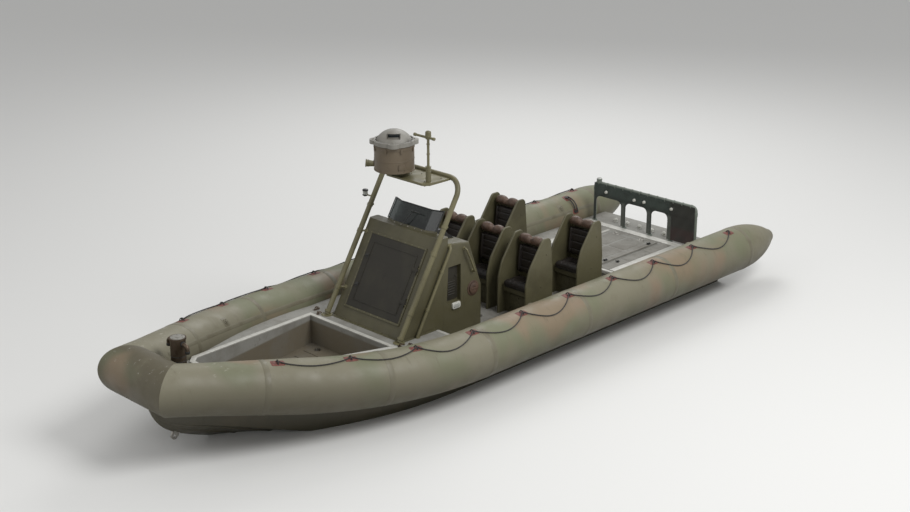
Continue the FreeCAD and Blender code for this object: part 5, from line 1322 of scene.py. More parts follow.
def make_deck_looks():
    well = [(x, -y) for x, y in WELL_CORNERS] + list(reversed(WELL_CORNERS))
    cap = rim_cap(well, 0.0, RIM_WIDE, lambda x: foredeck_z(x) + RIM_HIGH)
    cap.done("well_rim_cap", "rim")
    hatch = [(x, -HATCH_HALF) for x in HATCH_X] + [(x, HATCH_HALF) for x in reversed(HATCH_X)]
    hatch_top = AFT_DECK_Z + RIM_HIGH
    rim_cap(hatch, 0.024, HATCH_RIM, lambda x: hatch_top, 0.0035).done("hatch_rim_cap", "sole")

    border, pads = Form(), Form()
    fore_x, aft_x, strip, z = -2.510, -4.030, 0.135, AFT_DECK_Z + 0.005
    border.box((1.26, 0.052, 0.008), (-3.275, -HATCH_HALF - 0.058, hatch_top + 0.006), None, 0.003)
    for y in (0.765, -0.765):
        border.box((fore_x - aft_x, strip, 0.014), ((fore_x + aft_x) / 2, y, z), None, 0.005)
    border.box((strip, 2.10, 0.014), (aft_x - strip / 2 - 0.001, 0, z), None, 0.005)
    border.done("aft_deck_border", "rim")
    z = AFT_DECK_Z + 0.0015
    for y in (0.590, -0.590):
        for x in steps(-3.790, -2.760, 2):
            pads.box((0.490, 0.175, 0.005), (x, y, z), None, 0.002)
    for y in (-0.22, 0.22):
        pads.box((0.120, 0.40, 0.005), (-2.580, y, z))
    pads.done("aft_deck_tread_pads", "sole")

    edge = Form()
    step_half, step_long = 0.9375, 0.405
    for y in (-step_half, step_half):
        nosing(edge, 1.052, 1, y, step_long, FOREDECK_Z,
               [y + step_long * (k - 1.5) / 4 for k in range(4)])
    nosing(edge, -2.450, -1, 0, 2.20, AFT_DECK_Z, steps(-1.04, 1.04, 14))
    edge.done("deck_step_nosings", "rim")

    ribs = Form()
    (aft_x, aft_half), (fore_x, fore_half) = WELL_CORNERS[:2]
    for x in steps(2.20, 3.80, 8):
        half = aft_half + (x - aft_x) * (fore_half - aft_half) / (fore_x - aft_x) - 0.10
        ribs.box((0.026, 2 * half, 0.008), (x, 0, WELL_FLOOR_Z + 0.003), None, 0.0025)
    ribs.done("well_floor_treads", "deck")

    drains, pans = Form(), Form()
    for side, where in SIDES:
        drain(drains, (2.06, side * 0.52, WELL_FLOOR_Z), 0.045, 0.039, 0.034)
        drain(drains, (-2.36, side * 1.02, SOLE_Z), 0.050, 0.042, 0.036)
        for x in (-3.90, -3.25, -2.62):
            lashing_pan(pans, (x, side * 0.93, AFT_DECK_Z), 0.3 * side)
        for x in (-0.10, -1.15, -2.25):
            lashing_pan(pans, (x, side * 0.36, SOLE_Z), 0.0)
    drains.done("deck_drains", "fitting")
    pans.done("lashing_pans", "fitting")

    eyes = Form()
    for x, y, turn in ((1.813, -0.790, 0.5), (1.700, 0.860, 0.2), (1.630, 0.955, -0.3),
                       (1.813, 0.815, 1.1), (1.700, -0.955, 0.1)):
        pad_eye(eyes, (x, y, foredeck_z(x)), turn)
    eyes.done("foredeck_pad_eyes", "bitt")

    dogs = Form()
    for x, y, turn in ((-3.780, 0.437, 0.0), (-2.740, 0.437, 0.0), (-2.880, 0.560, 0.4),
                       (-2.880, -0.560, -0.4)):
        spot = Vector((x, y, hatch_top + 0.0035 if abs(y) < 0.5 else AFT_DECK_Z))
        spin = Matrix.Rotation(turn, 4, "Z")
        dogs.box((0.080, 0.046, 0.006), spot + UP * 0.003, spin, 0.002)
        dogs.box((0.060, 0.026, 0.020), spot + UP * 0.014, spin, 0.005)
        dogs.lathe([(0.007, -0.020), (0.007, 0.020)], spot + Vector((0.024, 0, 0.022)),
                   spin @ PORT, 12)
        dogs.bolts([spot + spin @ Vector((along, 0.016, 0.006)) for along in (-0.034, 0.034)], UP,
                   0.0035, 0.003)
    dogs.done("hatch_dogs", "black")

    lid, grips = Form(), Form()
    aft_x, fore_x = HATCH_X[0] + 0.045, HATCH_X[1] - 0.075
    wide, high = (fore_x - aft_x) / 2 - 0.020, HATCH_HALF - 0.060
    for along in (-0.5, 0.5):
        for across in (-0.5, 0.5):
            spot = ((aft_x + fore_x) / 2 + along * (wide + 0.035), across * (high + 0.045),
                    hatch_top)
            lid.plate(wide, high, 0.030, 0.0035, spot, AHEAD, PORT, 0.0012)
    lid.done("hatch_tread_pads", "sole", body="hatch_lid")
    for y in (-0.24, 0.24):
        spot = Vector((HATCH_X[0] + 0.030, y, hatch_top))
        grips.box((0.050, 0.120, 0.004), spot + UP * 0.002, None, 0.0015)
        grips.tube([spot + Vector((0, across, lift)) for across, lift in (
            (-0.045, 0.003), (-0.040, 0.012), (0.040, 0.012), (0.045, 0.003))], 0.005, 8)
    for y in (-0.23, 0.23):
        spot = Vector((HATCH_X[1] - 0.050, y, hatch_top))
        grips.box((0.060, 0.082, 0.004), spot + UP * 0.002, None, 0.0015)
        grips.bolts([spot + Vector((x, across, 0.004)) for x in (-0.016, 0.012)
                     for across in (-0.026, 0.026)], UP, 0.0045, 0.003)
    grips.done("hatch_grips", "fitting", body="hatch_lid")

    caps = Form()
    for k, y in enumerate(steps(-0.679, 0.289, 4)):
        spot = Vector((-4.362, y, AFT_DECK_Z))
        caps.disc(0.030, 0.006, spot, UP, 0.002, 28)
        caps.lathe([(0.037, 0.030), (0.0385, 0.034), (0.036, 0.040), (0.029, 0.050),
                    (0.019, 0.058), (0.010, 0.061), (0.0, 0.061)], spot, UP, 28)
        caps.box((0.046, 0.007, 0.007), spot + UP * 0.060, Matrix.Rotation(0.5 * k, 4, "Z"), 0.002)
    caps.done("stern_cap_tops", "white")


# Aft guard

BAY_ENDS = (-GUARD_HALF,) + POSTS
BAYS = [(left + HEM, right - HEM) for left, right in zip(BAY_ENDS, BAY_ENDS[1:])]


def bay_distance(y, z, bay):
    """Distance to a bay's edge, negative inside it; its crown corners are round."""
    half = (bay[1] - bay[0]) / 2
    across = abs(y - (bay[0] + bay[1]) / 2)
    over, above = across - (half - CROWN_R), z - (BAND_Z - CROWN_R)
    if over > 0 and above > 0:
        return hypot(over, above) - CROWN_R
    return max(across - half, z - BAND_Z)


def on_cloth(y, z, lift=0.0):
    """A point of the cloth, slightly slack between the posts and along the lower edge."""
    edge = sin(pi * (z - CANVAS_FOOT) / (RAIL_Z - CANVAS_FOOT))
    sag = 0.0035 * sin(9.0 * y + 1.1 * sin(7.0 * z)) * edge + 0.002 * sin(31 * y - 22 * z)
    return CANVAS_X + lift + sag, y, z


def cloth_cells(step=0.0125):
    """The cells of cloth round the bays, and its grid points drawn onto the bays' edges."""
    rows, columns = round((RAIL_Z - CANVAS_FOOT) / step), round(2 * GUARD_HALF / step)
    rises, acrosses = steps(CANVAS_FOOT, RAIL_Z, rows), steps(-GUARD_HALF, GUARD_HALF, columns)

    def nearest(y, z):
        return min((bay_distance(y, z, bay), bay) for bay in BAYS)

    kept = {(i, j) for i in range(rows) for j in range(columns)
            if nearest((acrosses[j] + acrosses[j + 1]) / 2, (rises[i] + rises[i + 1]) / 2)[0] > 0}
    corners = {}
    for i in range(rows + 1):
        for j in range(columns + 1):
            inside = [(m, n) for m in (i - 1, i) for n in (j - 1, j)
                      if 0 <= m < rows and 0 <= n < columns]
            left = sum(cell in kept for cell in inside)
            y, z = acrosses[j], rises[i]
            for turn in range(3 if 0 < left < len(inside) else 0):
                gap, bay = nearest(y, z)
                slope_y = (bay_distance(y + 1e-4, z, bay) - gap) / 1e-4
                slope_z = (bay_distance(y, z + 1e-4, bay) - gap) / 1e-4
                y -= gap * slope_y
                z = max(CANVAS_FOOT, z - gap * slope_z)
            if left:
                corners[i, j] = y, z
    return kept, corners


def make_guard_looks():
    kept, corners = cloth_cells()
    cloth = Form()
    back, front = ({key: cloth.bm.verts.new(on_cloth(*spot, lift))
                    for key, spot in corners.items()} for lift in (-0.0016, 0.0016))
    edges = set()
    for i, j in kept:
        ring = [(i, j), (i, j + 1), (i + 1, j + 1), (i + 1, j)]
        cloth.bm.faces.new([front[key] for key in ring])
        cloth.bm.faces.new([back[key] for key in reversed(ring)])
        for first, second in zip(ring, ring[1:] + ring[:1]):
            if (second, first) in edges:
                edges.remove((second, first))
            else:
                edges.add((first, second))
    for first, second in edges:
        cloth.bm.faces.new([front[second], front[first], back[first], back[second]])
    canvas = cloth.done("guard_cloth", "canvas", sharp=60)
    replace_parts(canvas, "guard_canvas")

    hems = Form()
    for low, high in BAYS:
        path = [(low, CANVAS_FOOT)]
        for middle, start in ((low + CROWN_R, pi), (high - CROWN_R, pi / 2)):
            path += [(middle + CROWN_R * cos(turn), BAND_Z - CROWN_R + CROWN_R * sin(turn))
                     for turn in steps(start, start - pi / 2, 8)]
        hems.tube([on_cloth(*spot) for spot in path + [(high, CANVAS_FOOT)]], 0.0042, 8)
    for z in (1.000, 1.150):
        hems.tube([on_cloth(y, z, 0.0025) for y in steps(-0.975, 0.975, 80)], 0.0022, 6)
    hems.tube([(CANVAS_X + 0.003, 0.545, z) for z in steps(0.60, 0.98, 12)], 0.0024, 6)
    hem = hems.done("guard_cloth_hems", "canvas")

    straps, knobs, joints = Form(), Form(), Form()
    ring = circle(20, 1.0, 0.0, AHEAD * 0.030, UP * 0.029)
    for y in steps(-0.90, 0.90, 11):
        for across in (-0.006, 0.0, 0.006):
            spot = Vector((GUARD_X + 0.004, y + across, RAIL_Z - 0.003))
            straps.tube([spot + way for way in ring], 0.0036, 7, closed=True)
    straps.done("guard_rail_ties", "guard")
    for y, z in ((-0.737, 1.074), (-0.173, 1.064), (0.024, 1.075), (0.546, 1.078)):
        knobs.lathe([(0.026, 0.0), (0.026, 0.004), (0.018, 0.007), (0.017, 0.014), (0.022, 0.018),
                     (0.021, 0.025), (0.012, 0.029), (0.0, 0.030)], on_cloth(y, z, 0.0024), AHEAD,
                    24)
    knobs.done("guard_knobs", "white")
    for y in (*BAY_ENDS, GUARD_HALF):
        post, joint_z = (POST_R, RAIL_Z - 0.055) if y in POSTS else (RAIL_R, 1.08)
        foot = Vector((GUARD_X, y, AFT_DECK_Z + GUARD_FLANGE))
        joints.band(post + 0.001, post + 0.005, -0.030, 0.030, 0.004, (GUARD_X, y, joint_z), UP,
                    24)
        joints.lathe([(post + 0.001, 0.0), (post + 0.009, 0.003), (post + 0.004, 0.026),
                      (post + 0.001, 0.030)], foot, UP, 24)
        joints.bolts([foot + way for way in circle(4, 0.036, 45)], UP, 0.0055, 0.005)
    lamp = (GUARD_X, -0.910, RAIL_Z)
    joints.lathe([(0.043, 0.050), (0.046, 0.053), (0.046, 0.060), (0.040, 0.066)], lamp, UP, 28)
    joints.done("guard_joints", "guard")
    finial = Form().lathe([(0.039, 0.062), (0.038, 0.070), (0.030, 0.080), (0.016, 0.086),
                           (0.0, 0.088)], lamp, UP, 28)
    finial.done("guard_lamp_lens", "clear_lens")


# Arch, radar, antenna, horn, lamp and bitt

ARCH_LEAN = Vector((-ARCH_SLOPE, 0, 1)).normalized()


def on_arch(side, z):
    return Vector((ARCH_FOOT_X - ARCH_SLOPE * (z - FOREDECK_Z), side * ARCH_HALF, z))


def make_arch_looks():
    parts, braces = Form(), Form()
    shaft = ARCH_R + 0.001
    for side, where in SIDES:
        out = PORT * side
        foot = Vector((ARCH_FOOT_X, side * ARCH_HALF, foredeck_z(ARCH_FOOT_X) + 0.012))
        parts.bolts([foot + way for way in circle(6, 0.058, 30)], UP, 0.0075, 0.007)
        parts.band(shaft, ARCH_R + 0.007, 0.030, 0.066, 0.004, foot, ARCH_LEAN)
        for z in (1.000, 1.698):
            parts.band(shaft, ARCH_R + 0.005, -0.026, 0.026, 0.004, on_arch(side, z), ARCH_LEAN)
            face = on_front(side * 0.633, (z - FOREDECK_Z) / FRONT_UP.z)
            parts.disc(0.032, 0.007, face, FRONT_OUT, 0.002, 28)
            parts.bolts([face + FRONT_OUT * 0.007 + way
                         for way in circle(4, 0.024, 45, PORT, FRONT_UP)], FRONT_OUT, 0.004, 0.004)
        clamp = on_arch(side, 2.02)
        parts.band(shaft, ARCH_R + 0.006, -0.020, 0.020, 0.004, clamp, ARCH_LEAN)
        clamp += Vector((-0.046, 0, -0.006))
        parts.box((0.030, 0.026, 0.028), clamp, None, 0.004)
        parts.bolts([clamp + out * 0.013], out, 0.006, 0.005)

        y = side * (CONSOLE_HALF + 0.038)
        foot, head = Vector((1.420, y, 0.650)), Vector((0.790, y, 1.735))
        for share in (0.30, 0.72):
            spot = foot.lerp(head, share)
            braces.band(0.023, 0.027, -0.018, 0.018, 0.003, spot, head - foot, 24)
            braces.box((0.028, 0.030, 0.028), spot - out * 0.022, None, 0.004)
        braces.disc(0.042, 0.006, (foot.x, y, foredeck_z(foot.x) + 0.0005), UP, 0.002, 28)
        braces.disc(0.036, 0.006, (head.x, side * CONSOLE_HALF, head.z), out, 0.002, 28)
    parts.done("arch_collars", "arch")
    braces.done("brace_clamps", "arch")


def make_radar_looks():
    top = DRUM_AT + UP * DRUM_HIGH
    bands, seams = Form(), Form()
    for low, high, lift in ((0.0, 0.022, 0.005), (0.150, 0.162, 0.003),
                            (DRUM_HIGH - 0.046, DRUM_HIGH - 0.006, 0.006)):
        bands.band(DRUM_R + 0.0005, DRUM_R + lift, low, high, 0.003, DRUM_AT, UP, 96)
    for way in circle(8, 1.0, 22.5):
        across = UP.cross(way)
        bands.plate(0.030, 0.060, 0.006, 0.011, top + way * (DRUM_R + 0.003) - UP * 0.050, across,
                    UP, 0.003)
        bands.lathe([(0.005, -0.014), (0.005, 0.014)], top + way * (DRUM_R + 0.013) - UP * 0.028,
                    across, 10)
    for way in circle(3, 1.0, 70):
        place = placed(DRUM_AT + way * (DRUM_R - 0.001) + UP * 0.085, UP.cross(way), UP)
        bands.prism(rectangle(0.110, 0.075, 0.012), 0.007, place, 0.003)
        bands.bolts([place @ Vector((u, v, 0.007)) for u in (-0.042, 0.042)
                     for v in (-0.025, 0.025)], way, 0.0042, 0.0035)
    bands.done("drum_bands", "radar")

    deck, disc_r = top + UP * CAP_THICK, 0.275
    for way in circle(4, 0.266, 45):
        seams.disc(0.032, 0.005, deck + way, UP, 0.002, 28)
        seams.bolts([deck + way + UP * 0.005], UP, 0.012, 0.009)
    seams.lathe([(disc_r - 0.030, 0.0), (disc_r - 0.028, 0.004), (disc_r - 0.012, 0.004),
                 (disc_r - 0.010, 0.0)], deck, UP, 96)
    for phase in (-15, 0, 15):
        seams.bolts([deck + way + UP * 0.004 for way in circle(4, disc_r - 0.020, phase)], UP,
                    0.005, 0.004)
    seams.done("radar_cap_bolts", "cap")

    way = (AHEAD + PORT).normalized()
    place = placed(deck + way * 0.0955 + UP * 0.068, UP.cross(way), UP)
    sight = Form().prism(rectangle(0.150, 0.044, 0.008), 0.008, place, 0.002)
    sight.done("radar_sight_glass", "screen_face")
    bars = Form().surround(0.150, 0.044, 0.008, 0.013, place, 0.002)
    bars.done("radar_sight_frame", "cap")

    fore_x, aft_x, low_y, high_y, corner, z = 1.035, 0.620, -0.300, 0.500, 0.070, 2.545
    outline = [(aft_x, low_y), (fore_x - corner, low_y), (fore_x, low_y + corner),
               (fore_x, high_y - corner), (fore_x - corner, high_y), (aft_x, high_y)]
    tray = Form().hoop([[(x, y, z + lift) for x, y in grown(outline, reach)]
                        for reach, lift in ((0.001, 0.002), (0.005, 0.004), (0.005, 0.026),
                                            (0.001, 0.030), (-0.006, 0.033), (-0.008, 0.029))])
    tray.bolts([(x, y, PLATFORM_Z) for x, y in (
        (0.70, -0.24), (0.70, 0.44), (0.98, 0.40), (0.72, 0.10), (0.84, 0.30))], UP, 0.008, 0.006)
    tray.bolts([Vector((0.898, -0.120, PLATFORM_Z)) + way for way in circle(8, 0.145)], UP, 0.007,
               0.006)
    for y in (-0.20, 0.10, 0.40):
        tray.box((0.34, 0.010, 0.030), (0.800, y, 2.531), None, 0.003)
    tray.done("platform_trim", "arch")

    foot = Vector((MAST_X, MAST_Y, PLATFORM_Z))
    mast = Form().disc(0.060, 0.007, foot)
    mast.bolts([foot + UP * 0.007 + way for way in circle(6, 0.048)], UP, 0.0055, 0.005)
    for z in (2.640, 2.720, 2.782):
        mast.band(0.034, 0.038, -0.006, 0.006, 0.002, (MAST_X, MAST_Y, z), UP, 28)
    for z in (2.95, 3.08):
        mast.band(0.0165, 0.022, -0.012, 0.012, 0.003, (MAST_X, MAST_Y, z), UP, 24)
    mast.box((0.050, 0.054, 0.044), (MAST_X, MAST_Y, CROSSBAR_Z), None, 0.006)
    for y, way in ((0.550, PORT), (0.190, -PORT)):
        mast.lathe([(0.016, -0.030), (0.021, -0.026), (0.021, 0.004), (0.014, 0.009),
                    (0.0, 0.010)], (MAST_X, y, CROSSBAR_Z), way, 24)
    mast.band(0.038, 0.041, 0.0, 0.015, 0.003, (MAST_X, MAST_Y, 3.180), UP, 28)
    mast.lathe([(0.036, 0.0), (0.030, 0.010), (0.016, 0.016), (0.0, 0.018)],
               (MAST_X, MAST_Y, 3.2395), UP, 28)
    mast.done("antenna_fittings", "arch")


def make_horn_looks():
    """A ribbed dish and a phasing plug inside the horn's mouth, and rings round its bell."""
    aim = Vector((76, -62, 12)).normalized()
    bend, stem, length = 0.230, 0.060, 0.250
    toward = (PORT - ARCH_LEAN).normalized()
    half = PORT.angle(-ARCH_LEAN) / 2
    throat = on_arch(-1, 2.580) + toward * (bend / sin(half) - bend) + aim * stem
    mouth = throat + aim * length
    rings = Form()
    for share in (0.28, 0.62, 0.90):
        radius = 0.020 + 0.028 * share
        rings.lathe([(radius, -0.006), (radius + 0.004, -0.004), (radius + 0.005, 0.004),
                     (radius + 0.001, 0.006)], throat + aim * length * share, aim, 36)
    rings.lathe([(0.0515, 0.001), (0.0545, 0.003), (0.0545, 0.009), (0.0515, 0.0115)], mouth, aim,
                44)
    rings.done("horn_rings", "arch")
    plug = Form().lathe([(0.040, 0.0045), (0.034, 0.006), (0.030, 0.0045), (0.018, 0.005),
                         (0.012, 0.010), (0.0, 0.012)], mouth, aim, 36)
    plug.done("horn_plug", "black")


def make_lamp_looks():
    spot = on_arch(-1, 2.105)
    spot.y = -0.855
    profile = [(0.0290, 0.0150)]
    for height in steps(0.0165, 0.0599, 7):
        profile += [(0.0335, height), (0.0345, height + 0.003), (0.0312, height + 0.0055)]
    glass = Form().lathe(profile + [(0.0290, 0.0662)], spot, UP, 40)
    glass.done("navigation_lens", "clear_lens")
    hood = Form().lathe([(0.0385, 0.0), (0.0400, 0.003), (0.0400, 0.011), (0.0385, 0.0142)], spot,
                        UP, 36)
    hood.lathe([(0.0385, 0.0655), (0.0405, 0.069), (0.0405, 0.077), (0.034, 0.085),
                (0.012, 0.090), (0.0, 0.090)], spot, UP, 36)
    hood.disc(0.020, 0.010, spot - UP * 0.010, UP, 0.003, 24)
    hood.done("navigation_hoods", "black")


def make_bitt_looks():
    parts, tips = Form(), Form()
    parts.disc(0.086, 0.005, (BITT_X, 0, 1.385), UP, 0.002, 48)
    top = Vector((BITT_X, 0, 1.390))
    parts.disc(0.030, 0.006, top, UP, 0.002, 28)
    parts.bolts([top + way for way in circle(6, 0.066)], UP, 0.007, 0.005)
    parts.done("bitt_top_plate", "cap", slot="fitting")
    for side, where in SIDES:
        tips.lathe([(0.027, 0.010), (0.0295, 0.006), (0.0295, -0.018), (0.025, -0.024),
                    (0.0, -0.024)], (BITT_X, side * 0.185, 1.251), UP, 28)
        tips.band(0.026, 0.0325, -0.012, 0.010, 0.004, (BITT_X, side * 0.102, 1.323), PORT * side,
                  28)
    tips.lathe([(0.0925, 0.0), (0.100, 0.003), (0.097, 0.012), (0.0925, 0.016)],
               (BITT_X, 0, foredeck_z(BITT_X) + 0.016), UP, 48)
    for z in (1.10, 1.16):
        tips.lathe([(0.0922, -0.004), (0.0945, 0.0), (0.0922, 0.004)], (BITT_X, 0, z), UP, 48)
    tips.done("bitt_fittings", "black")


# Engines, waterjets and what the hull carries

def make_engine_looks(side, where):
    base = Vector((-3.425, side * 0.320, -0.250))

    def at(x, y, z):
        return base + Vector((x, y, z))

    block, top, drives = Form(), Form(), Form()
    block.box((0.80, 0.30, 0.11), at(0.04, 0, 0.075), None, 0.03)
    block.box((0.84, 0.36, 0.26), at(0.03, 0, 0.255), None, 0.02)
    block.box((0.80, 0.22, 0.10), at(0.03, 0, 0.435), None, 0.02)
    block.lathe([(0.215, 0.0), (0.215, 0.030), (0.190, 0.05), (0.170, 0.14), (0.120, 0.16),
                 (0.120, 0.20), (0.0, 0.20)], at(-0.325, 0, 0.235), AFT, 40)
    block.bolts([at(-0.353, 0, 0.235) + way for way in circle(12, 0.202, 0.0, PORT, UP)], AFT,
                0.007, 0.006)
    for flank in (1, -1):
        for x in steps(-0.34, 0.38, 8):
            block.box((0.016, 0.016, 0.20), at(x, flank * 0.184, 0.25), None, 0.004)
        for x in (-0.30, 0.36):
            block.box((0.09, 0.060, 0.014), at(x, flank * 0.215, 0.16), None, 0.003)
            block.box((0.09, 0.012, 0.11), at(x, flank * 0.190, 0.20), None, 0.003)
            block.lathe([(0.030, 0.0), (0.030, 0.06), (0.022, 0.075), (0.022, 0.153)],
                        at(x, flank * 0.222, 0.001), UP, 20)
    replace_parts(block.done("engine_body_" + where, "engine"), "engine_" + where)

    for x in steps(-0.30, 0.35, 5):
        top.box((0.105, 0.200, 0.055), at(x, 0, 0.507), None, 0.014)
        top.bolts([at(x, 0, 0.534)], UP, 0.010, 0.010)
        top.tube([at(x, side * y, z) for y, z in ((0.10, 0.45), (0.15, 0.47), (0.185, 0.45))],
                 0.017, 12)
        top.tube([at(x, -side * y, z) for y, z in ((0.10, 0.44), (0.15, 0.45), (0.180, 0.41))],
                 0.019, 12)
    for fore_x, y, z, radius in ((0.40, 0.20, 0.45, 0.036), (0.30, -0.195, 0.40, 0.034)):
        top.tube([at(-0.34, side * y, z), at(fore_x, side * y, z)], radius, 20)
    top.lathe([(0.040, -0.05), (0.075, -0.035), (0.085, 0.0), (0.075, 0.035), (0.045, 0.05),
               (0.045, 0.09)], at(-0.40, side * -0.12, 0.43), AFT, 28)
    top.done("engine_manifolds_" + where, "jet", slot="engine")

    face_x = 0.455
    for across, rise, radius in ((0.0, 0.150, 0.085), (0.0, 0.340, 0.062), (0.125, 0.290, 0.040),
                                 (-0.120, 0.400, 0.036)):
        drives.lathe([(radius, 0.0), (radius, 0.006), (radius - 0.008, 0.012),
                      (radius - 0.008, 0.020), (radius, 0.026), (radius, 0.032),
                      (radius * 0.5, 0.034), (radius * 0.4, 0.028), (0.0, 0.028)],
                     at(face_x, across, rise), AHEAD)
    belt = ((-0.086, 0.14), (0.0, 0.062), (0.086, 0.14), (0.166, 0.285), (0.14, 0.325),
            (0.0, 0.405), (-0.11, 0.438), (-0.155, 0.41))
    drives.tube([at(face_x + 0.016, *spot) for spot in belt], 0.008, 8, closed=True)
    drives.lathe([(0.030, 0.0), (0.052, 0.02), (0.055, 0.04), (0.055, 0.13), (0.050, 0.15),
                  (0.0, 0.15)], at(0.15, side * 0.185, 0.235), (0, side * 0.25, -1), 24)
    drives.band(0.048, 0.052, -0.12, 0.12, 0.01, at(0.20, side * -0.200, 0.28), AHEAD, 24)
    drives.done("engine_drives_" + where, "black", slot="engine")


def transom_x(z):
    return TRANSOM_FOOT_X - z * tan(TRANSOM_RAKE)


def make_jet_looks(side, where):
    y = side * JET_Y
    pivot = Vector((PIVOT_X, y, JET_Z))
    flange_r, flange_thick, bucket_r = 0.185, 0.060, 0.269
    flange_x = transom_x(JET_Z + flange_r) - flange_thick
    flange = Vector((flange_x, y, JET_Z))
    parts, nozzle, bucket = Form(), Form(), Form()
    parts.bolts([flange + way for way in circle(20, 0.1725, 9, PORT, UP)], AFT, 0.0068, 0.009)
    parts.band(flange_r - 0.001, flange_r + 0.003, -0.016, -0.002, 0.003, flange, AFT, 64)
    length, wide = flange_x - PIVOT_X - 0.092, 0.012
    for share in (0.30, 0.62):
        radius = 0.160 - 0.080 * share
        parts.lathe([(radius + 0.0005, 0.0), (radius + 0.007, 0.002), (radius + 0.005, wide),
                     (radius - 0.003, wide + 0.003)], flange + AFT * length * share, AFT, 48)
    for way in circle(4, 1.0, 45, PORT, UP):
        foot, head = flange + way * 0.158, Vector((-4.880, y, JET_Z)) + way * 0.084
        web = [foot - way * 0.004, head - way * 0.004, head + way * 0.012, foot + way * 0.012]
        half = way.cross(AFT) * 0.004
        parts.block([point - half for point in web], [point + half for point in web])
    parts.disc(0.020, 0.016, flange + Vector((-0.10, 0, 0.138)), UP, 0.004, 24)
    parts.done("jet_flange_" + where, "jet")

    for start, radius in ((0.135, 0.0975), (0.173, 0.0920)):
        nozzle.lathe([(radius + 0.0005, 0.0), (radius + 0.0048, 0.002), (radius + 0.0038, 0.010),
                      (radius - 0.0015, 0.013)], pivot + AFT * start, AFT, 48)
    nozzle.done("nozzle_rings_" + where, "fitting", body="nozzle_" + where, slot="jet")

    for across in (-0.150, -0.075, 0.0, 0.075, 0.150):
        bucket.tube([pivot + PORT * across + (AFT * cos(turn) + UP * sin(turn)) * bucket_r
                     for turn in steps(radians(25), radians(101), 20)], 0.0052, 8)
    for flank in (PORT, -PORT):
        bucket.lathe([(0.031, 0.0), (0.031, 0.004), (0.026, 0.007), (0.0165, 0.007),
                      (0.0165, 0.003)], pivot + flank * 0.2043, flank, 28)
    bucket.done("bucket_ribs_" + where, "jet", body="bucket_" + where)

    # The intake's grille lies on the V bottom, which rises 0.280 over 1.175
    rise = atan2(0.280, 1.175)
    bottom = Vector((-3.950, y, -0.502 + abs(y) * tan(rise)))
    place = placed(bottom, AFT * side, Vector((0, side * cos(rise), sin(rise))))
    grille = Form().surround(0.56, 0.22, 0.030, 0.019, place, 0.004)
    for across in steps(-0.088, 0.088, 8):
        grille.prism(rectangle(0.56, 0.007), 0.012, place @ Matrix.Translation((0, across, 0.002)),
                     0.001)
    grille.done("intake_grille_" + where, "jet")


def make_transom_looks():
    up = Vector((-sin(TRANSOM_RAKE), 0, cos(TRANSOM_RAKE)))
    out = up.cross(PORT)

    def on_transom(y, z, lift=0.0):
        return Vector((transom_x(z), y, z)) + out * lift

    anodes, scuppers = Form(), Form()
    for side, where in SIDES:
        y = side * 0.760
        anodes.plate(0.060, 0.180, 0.020, 0.026, on_transom(y, -0.130), -PORT, up, 0.008)
        anodes.bolts([on_transom(y, z, 0.024) for z in (-0.20, -0.06)], out, 0.007, 0.006)
        for y, z in ((0.62, 0.335), (0.90, 0.330)):
            scuppers.lathe([(0.044, -0.002), (0.046, 0.004), (0.040, 0.010), (0.030, 0.012),
                            (0.028, 0.006), (0.028, -0.010)], on_transom(side * y, z), out)
            scuppers.plate(0.066, 0.070, 0.016, 0.006, on_transom(side * y, z + 0.004, 0.009),
                           -PORT, up, 0.002)
        scuppers.lathe([(0.034, -0.002), (0.036, 0.006), (0.030, 0.014), (0.024, 0.014),
                        (0.022, 0.004), (0.022, -0.010)], on_transom(side * 0.18, 0.20), out, 28)
    anodes.done("transom_anodes", "jet")
    scuppers.done("transom_scuppers", "black")
    lip = Form().tube([on_transom(y, 0.520, 0.004) for y in steps(-1.12, 1.12, 30)], 0.013)
    lip.done("transom_lip", "rim")


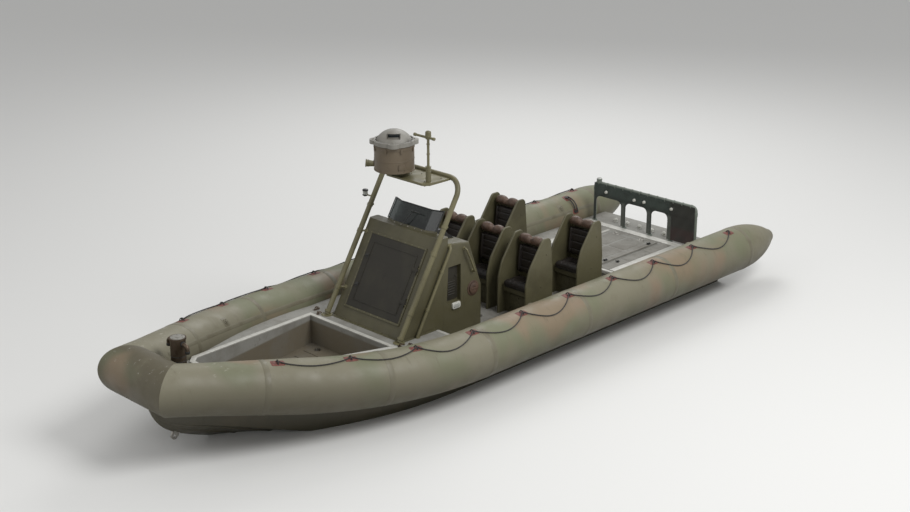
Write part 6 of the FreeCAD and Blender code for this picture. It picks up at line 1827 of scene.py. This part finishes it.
make_collar_looks()
make_tail_cone_looks()
make_seat_looks()
make_console_looks()
make_dashboard_looks()
make_windscreen_looks()
make_deck_looks()
make_grab_strap()
make_guard_looks()
make_arch_looks()
make_radar_looks()
make_horn_looks()
make_lamp_looks()
make_bitt_looks()
for jet_side, jet_where in SIDES:
    make_engine_looks(jet_side, jet_where)
    make_jet_looks(jet_side, jet_where)
make_transom_looks()


# Camera, light and floor

CAMERA_AZIMUTH, CAMERA_ELEVATION, CAMERA_DISTANCE = radians(134.648), radians(19.471), 20.819
CAMERA_TARGET, CAMERA_LENS, CAMERA_SENSOR = Vector((0.0, 0.0, 1.23)), 60.06, 36.0
LIGHT_TARGET = Vector((0, 0, 0.8))
LIGHTS = (("key", (-1.0, 11.0, 13.5), 1600.0, 8.0), ("fill", (13.0, -2.0, 8.0), 260.0, 9.0),
          ("back", (-10.0, -7.0, 11.0), 650.0, 8.0))
FLOOR_HALF = 400.0


def make_stage():
    mesh = bpy.data.meshes.new("stage_floor")
    corners = [(x, y, 0) for x, y in rectangle(2 * FLOOR_HALF, 2 * FLOOR_HALF)]
    mesh.from_pydata(corners, [], [(0, 1, 2, 3)])
    mesh.materials.append(Paint("stage_floor", srgb(222, 222, 220), 0.9).done())
    listed("stage_floor", mesh)

    world = bpy.data.worlds.new("studio")
    bpy.context.scene.world = world
    world.use_nodes = True
    ground = world.node_tree.nodes["Background"]
    ground.inputs["Color"].default_value = (1.0, 1.0, 1.0, 1.0)
    ground.inputs["Strength"].default_value = 0.50
    for name, spot, power, size in LIGHTS:
        light = bpy.data.lights.new(name, "AREA")
        light.energy = power
        light.shape = "DISK"
        light.size = size
        holder = listed(name, light)
        holder.location = spot
        holder.rotation_euler = (LIGHT_TARGET - Vector(spot)).to_track_quat("-Z", "Y").to_euler()


def make_camera():
    turn, lift = CAMERA_AZIMUTH, CAMERA_ELEVATION
    back = Vector((sin(turn) * cos(lift), -cos(turn) * cos(lift), sin(lift)))
    data = bpy.data.cameras.new("photo_camera")
    data.lens, data.sensor_width = CAMERA_LENS, CAMERA_SENSOR
    camera = listed("photo_camera", data)
    camera.location = CAMERA_TARGET + back * CAMERA_DISTANCE
    camera.rotation_euler = (-back).to_track_quat("-Z", "Y").to_euler()
    bpy.context.scene.camera = camera


make_stage()
make_camera()
bpy.context.scene.view_settings.view_transform = "Standard"
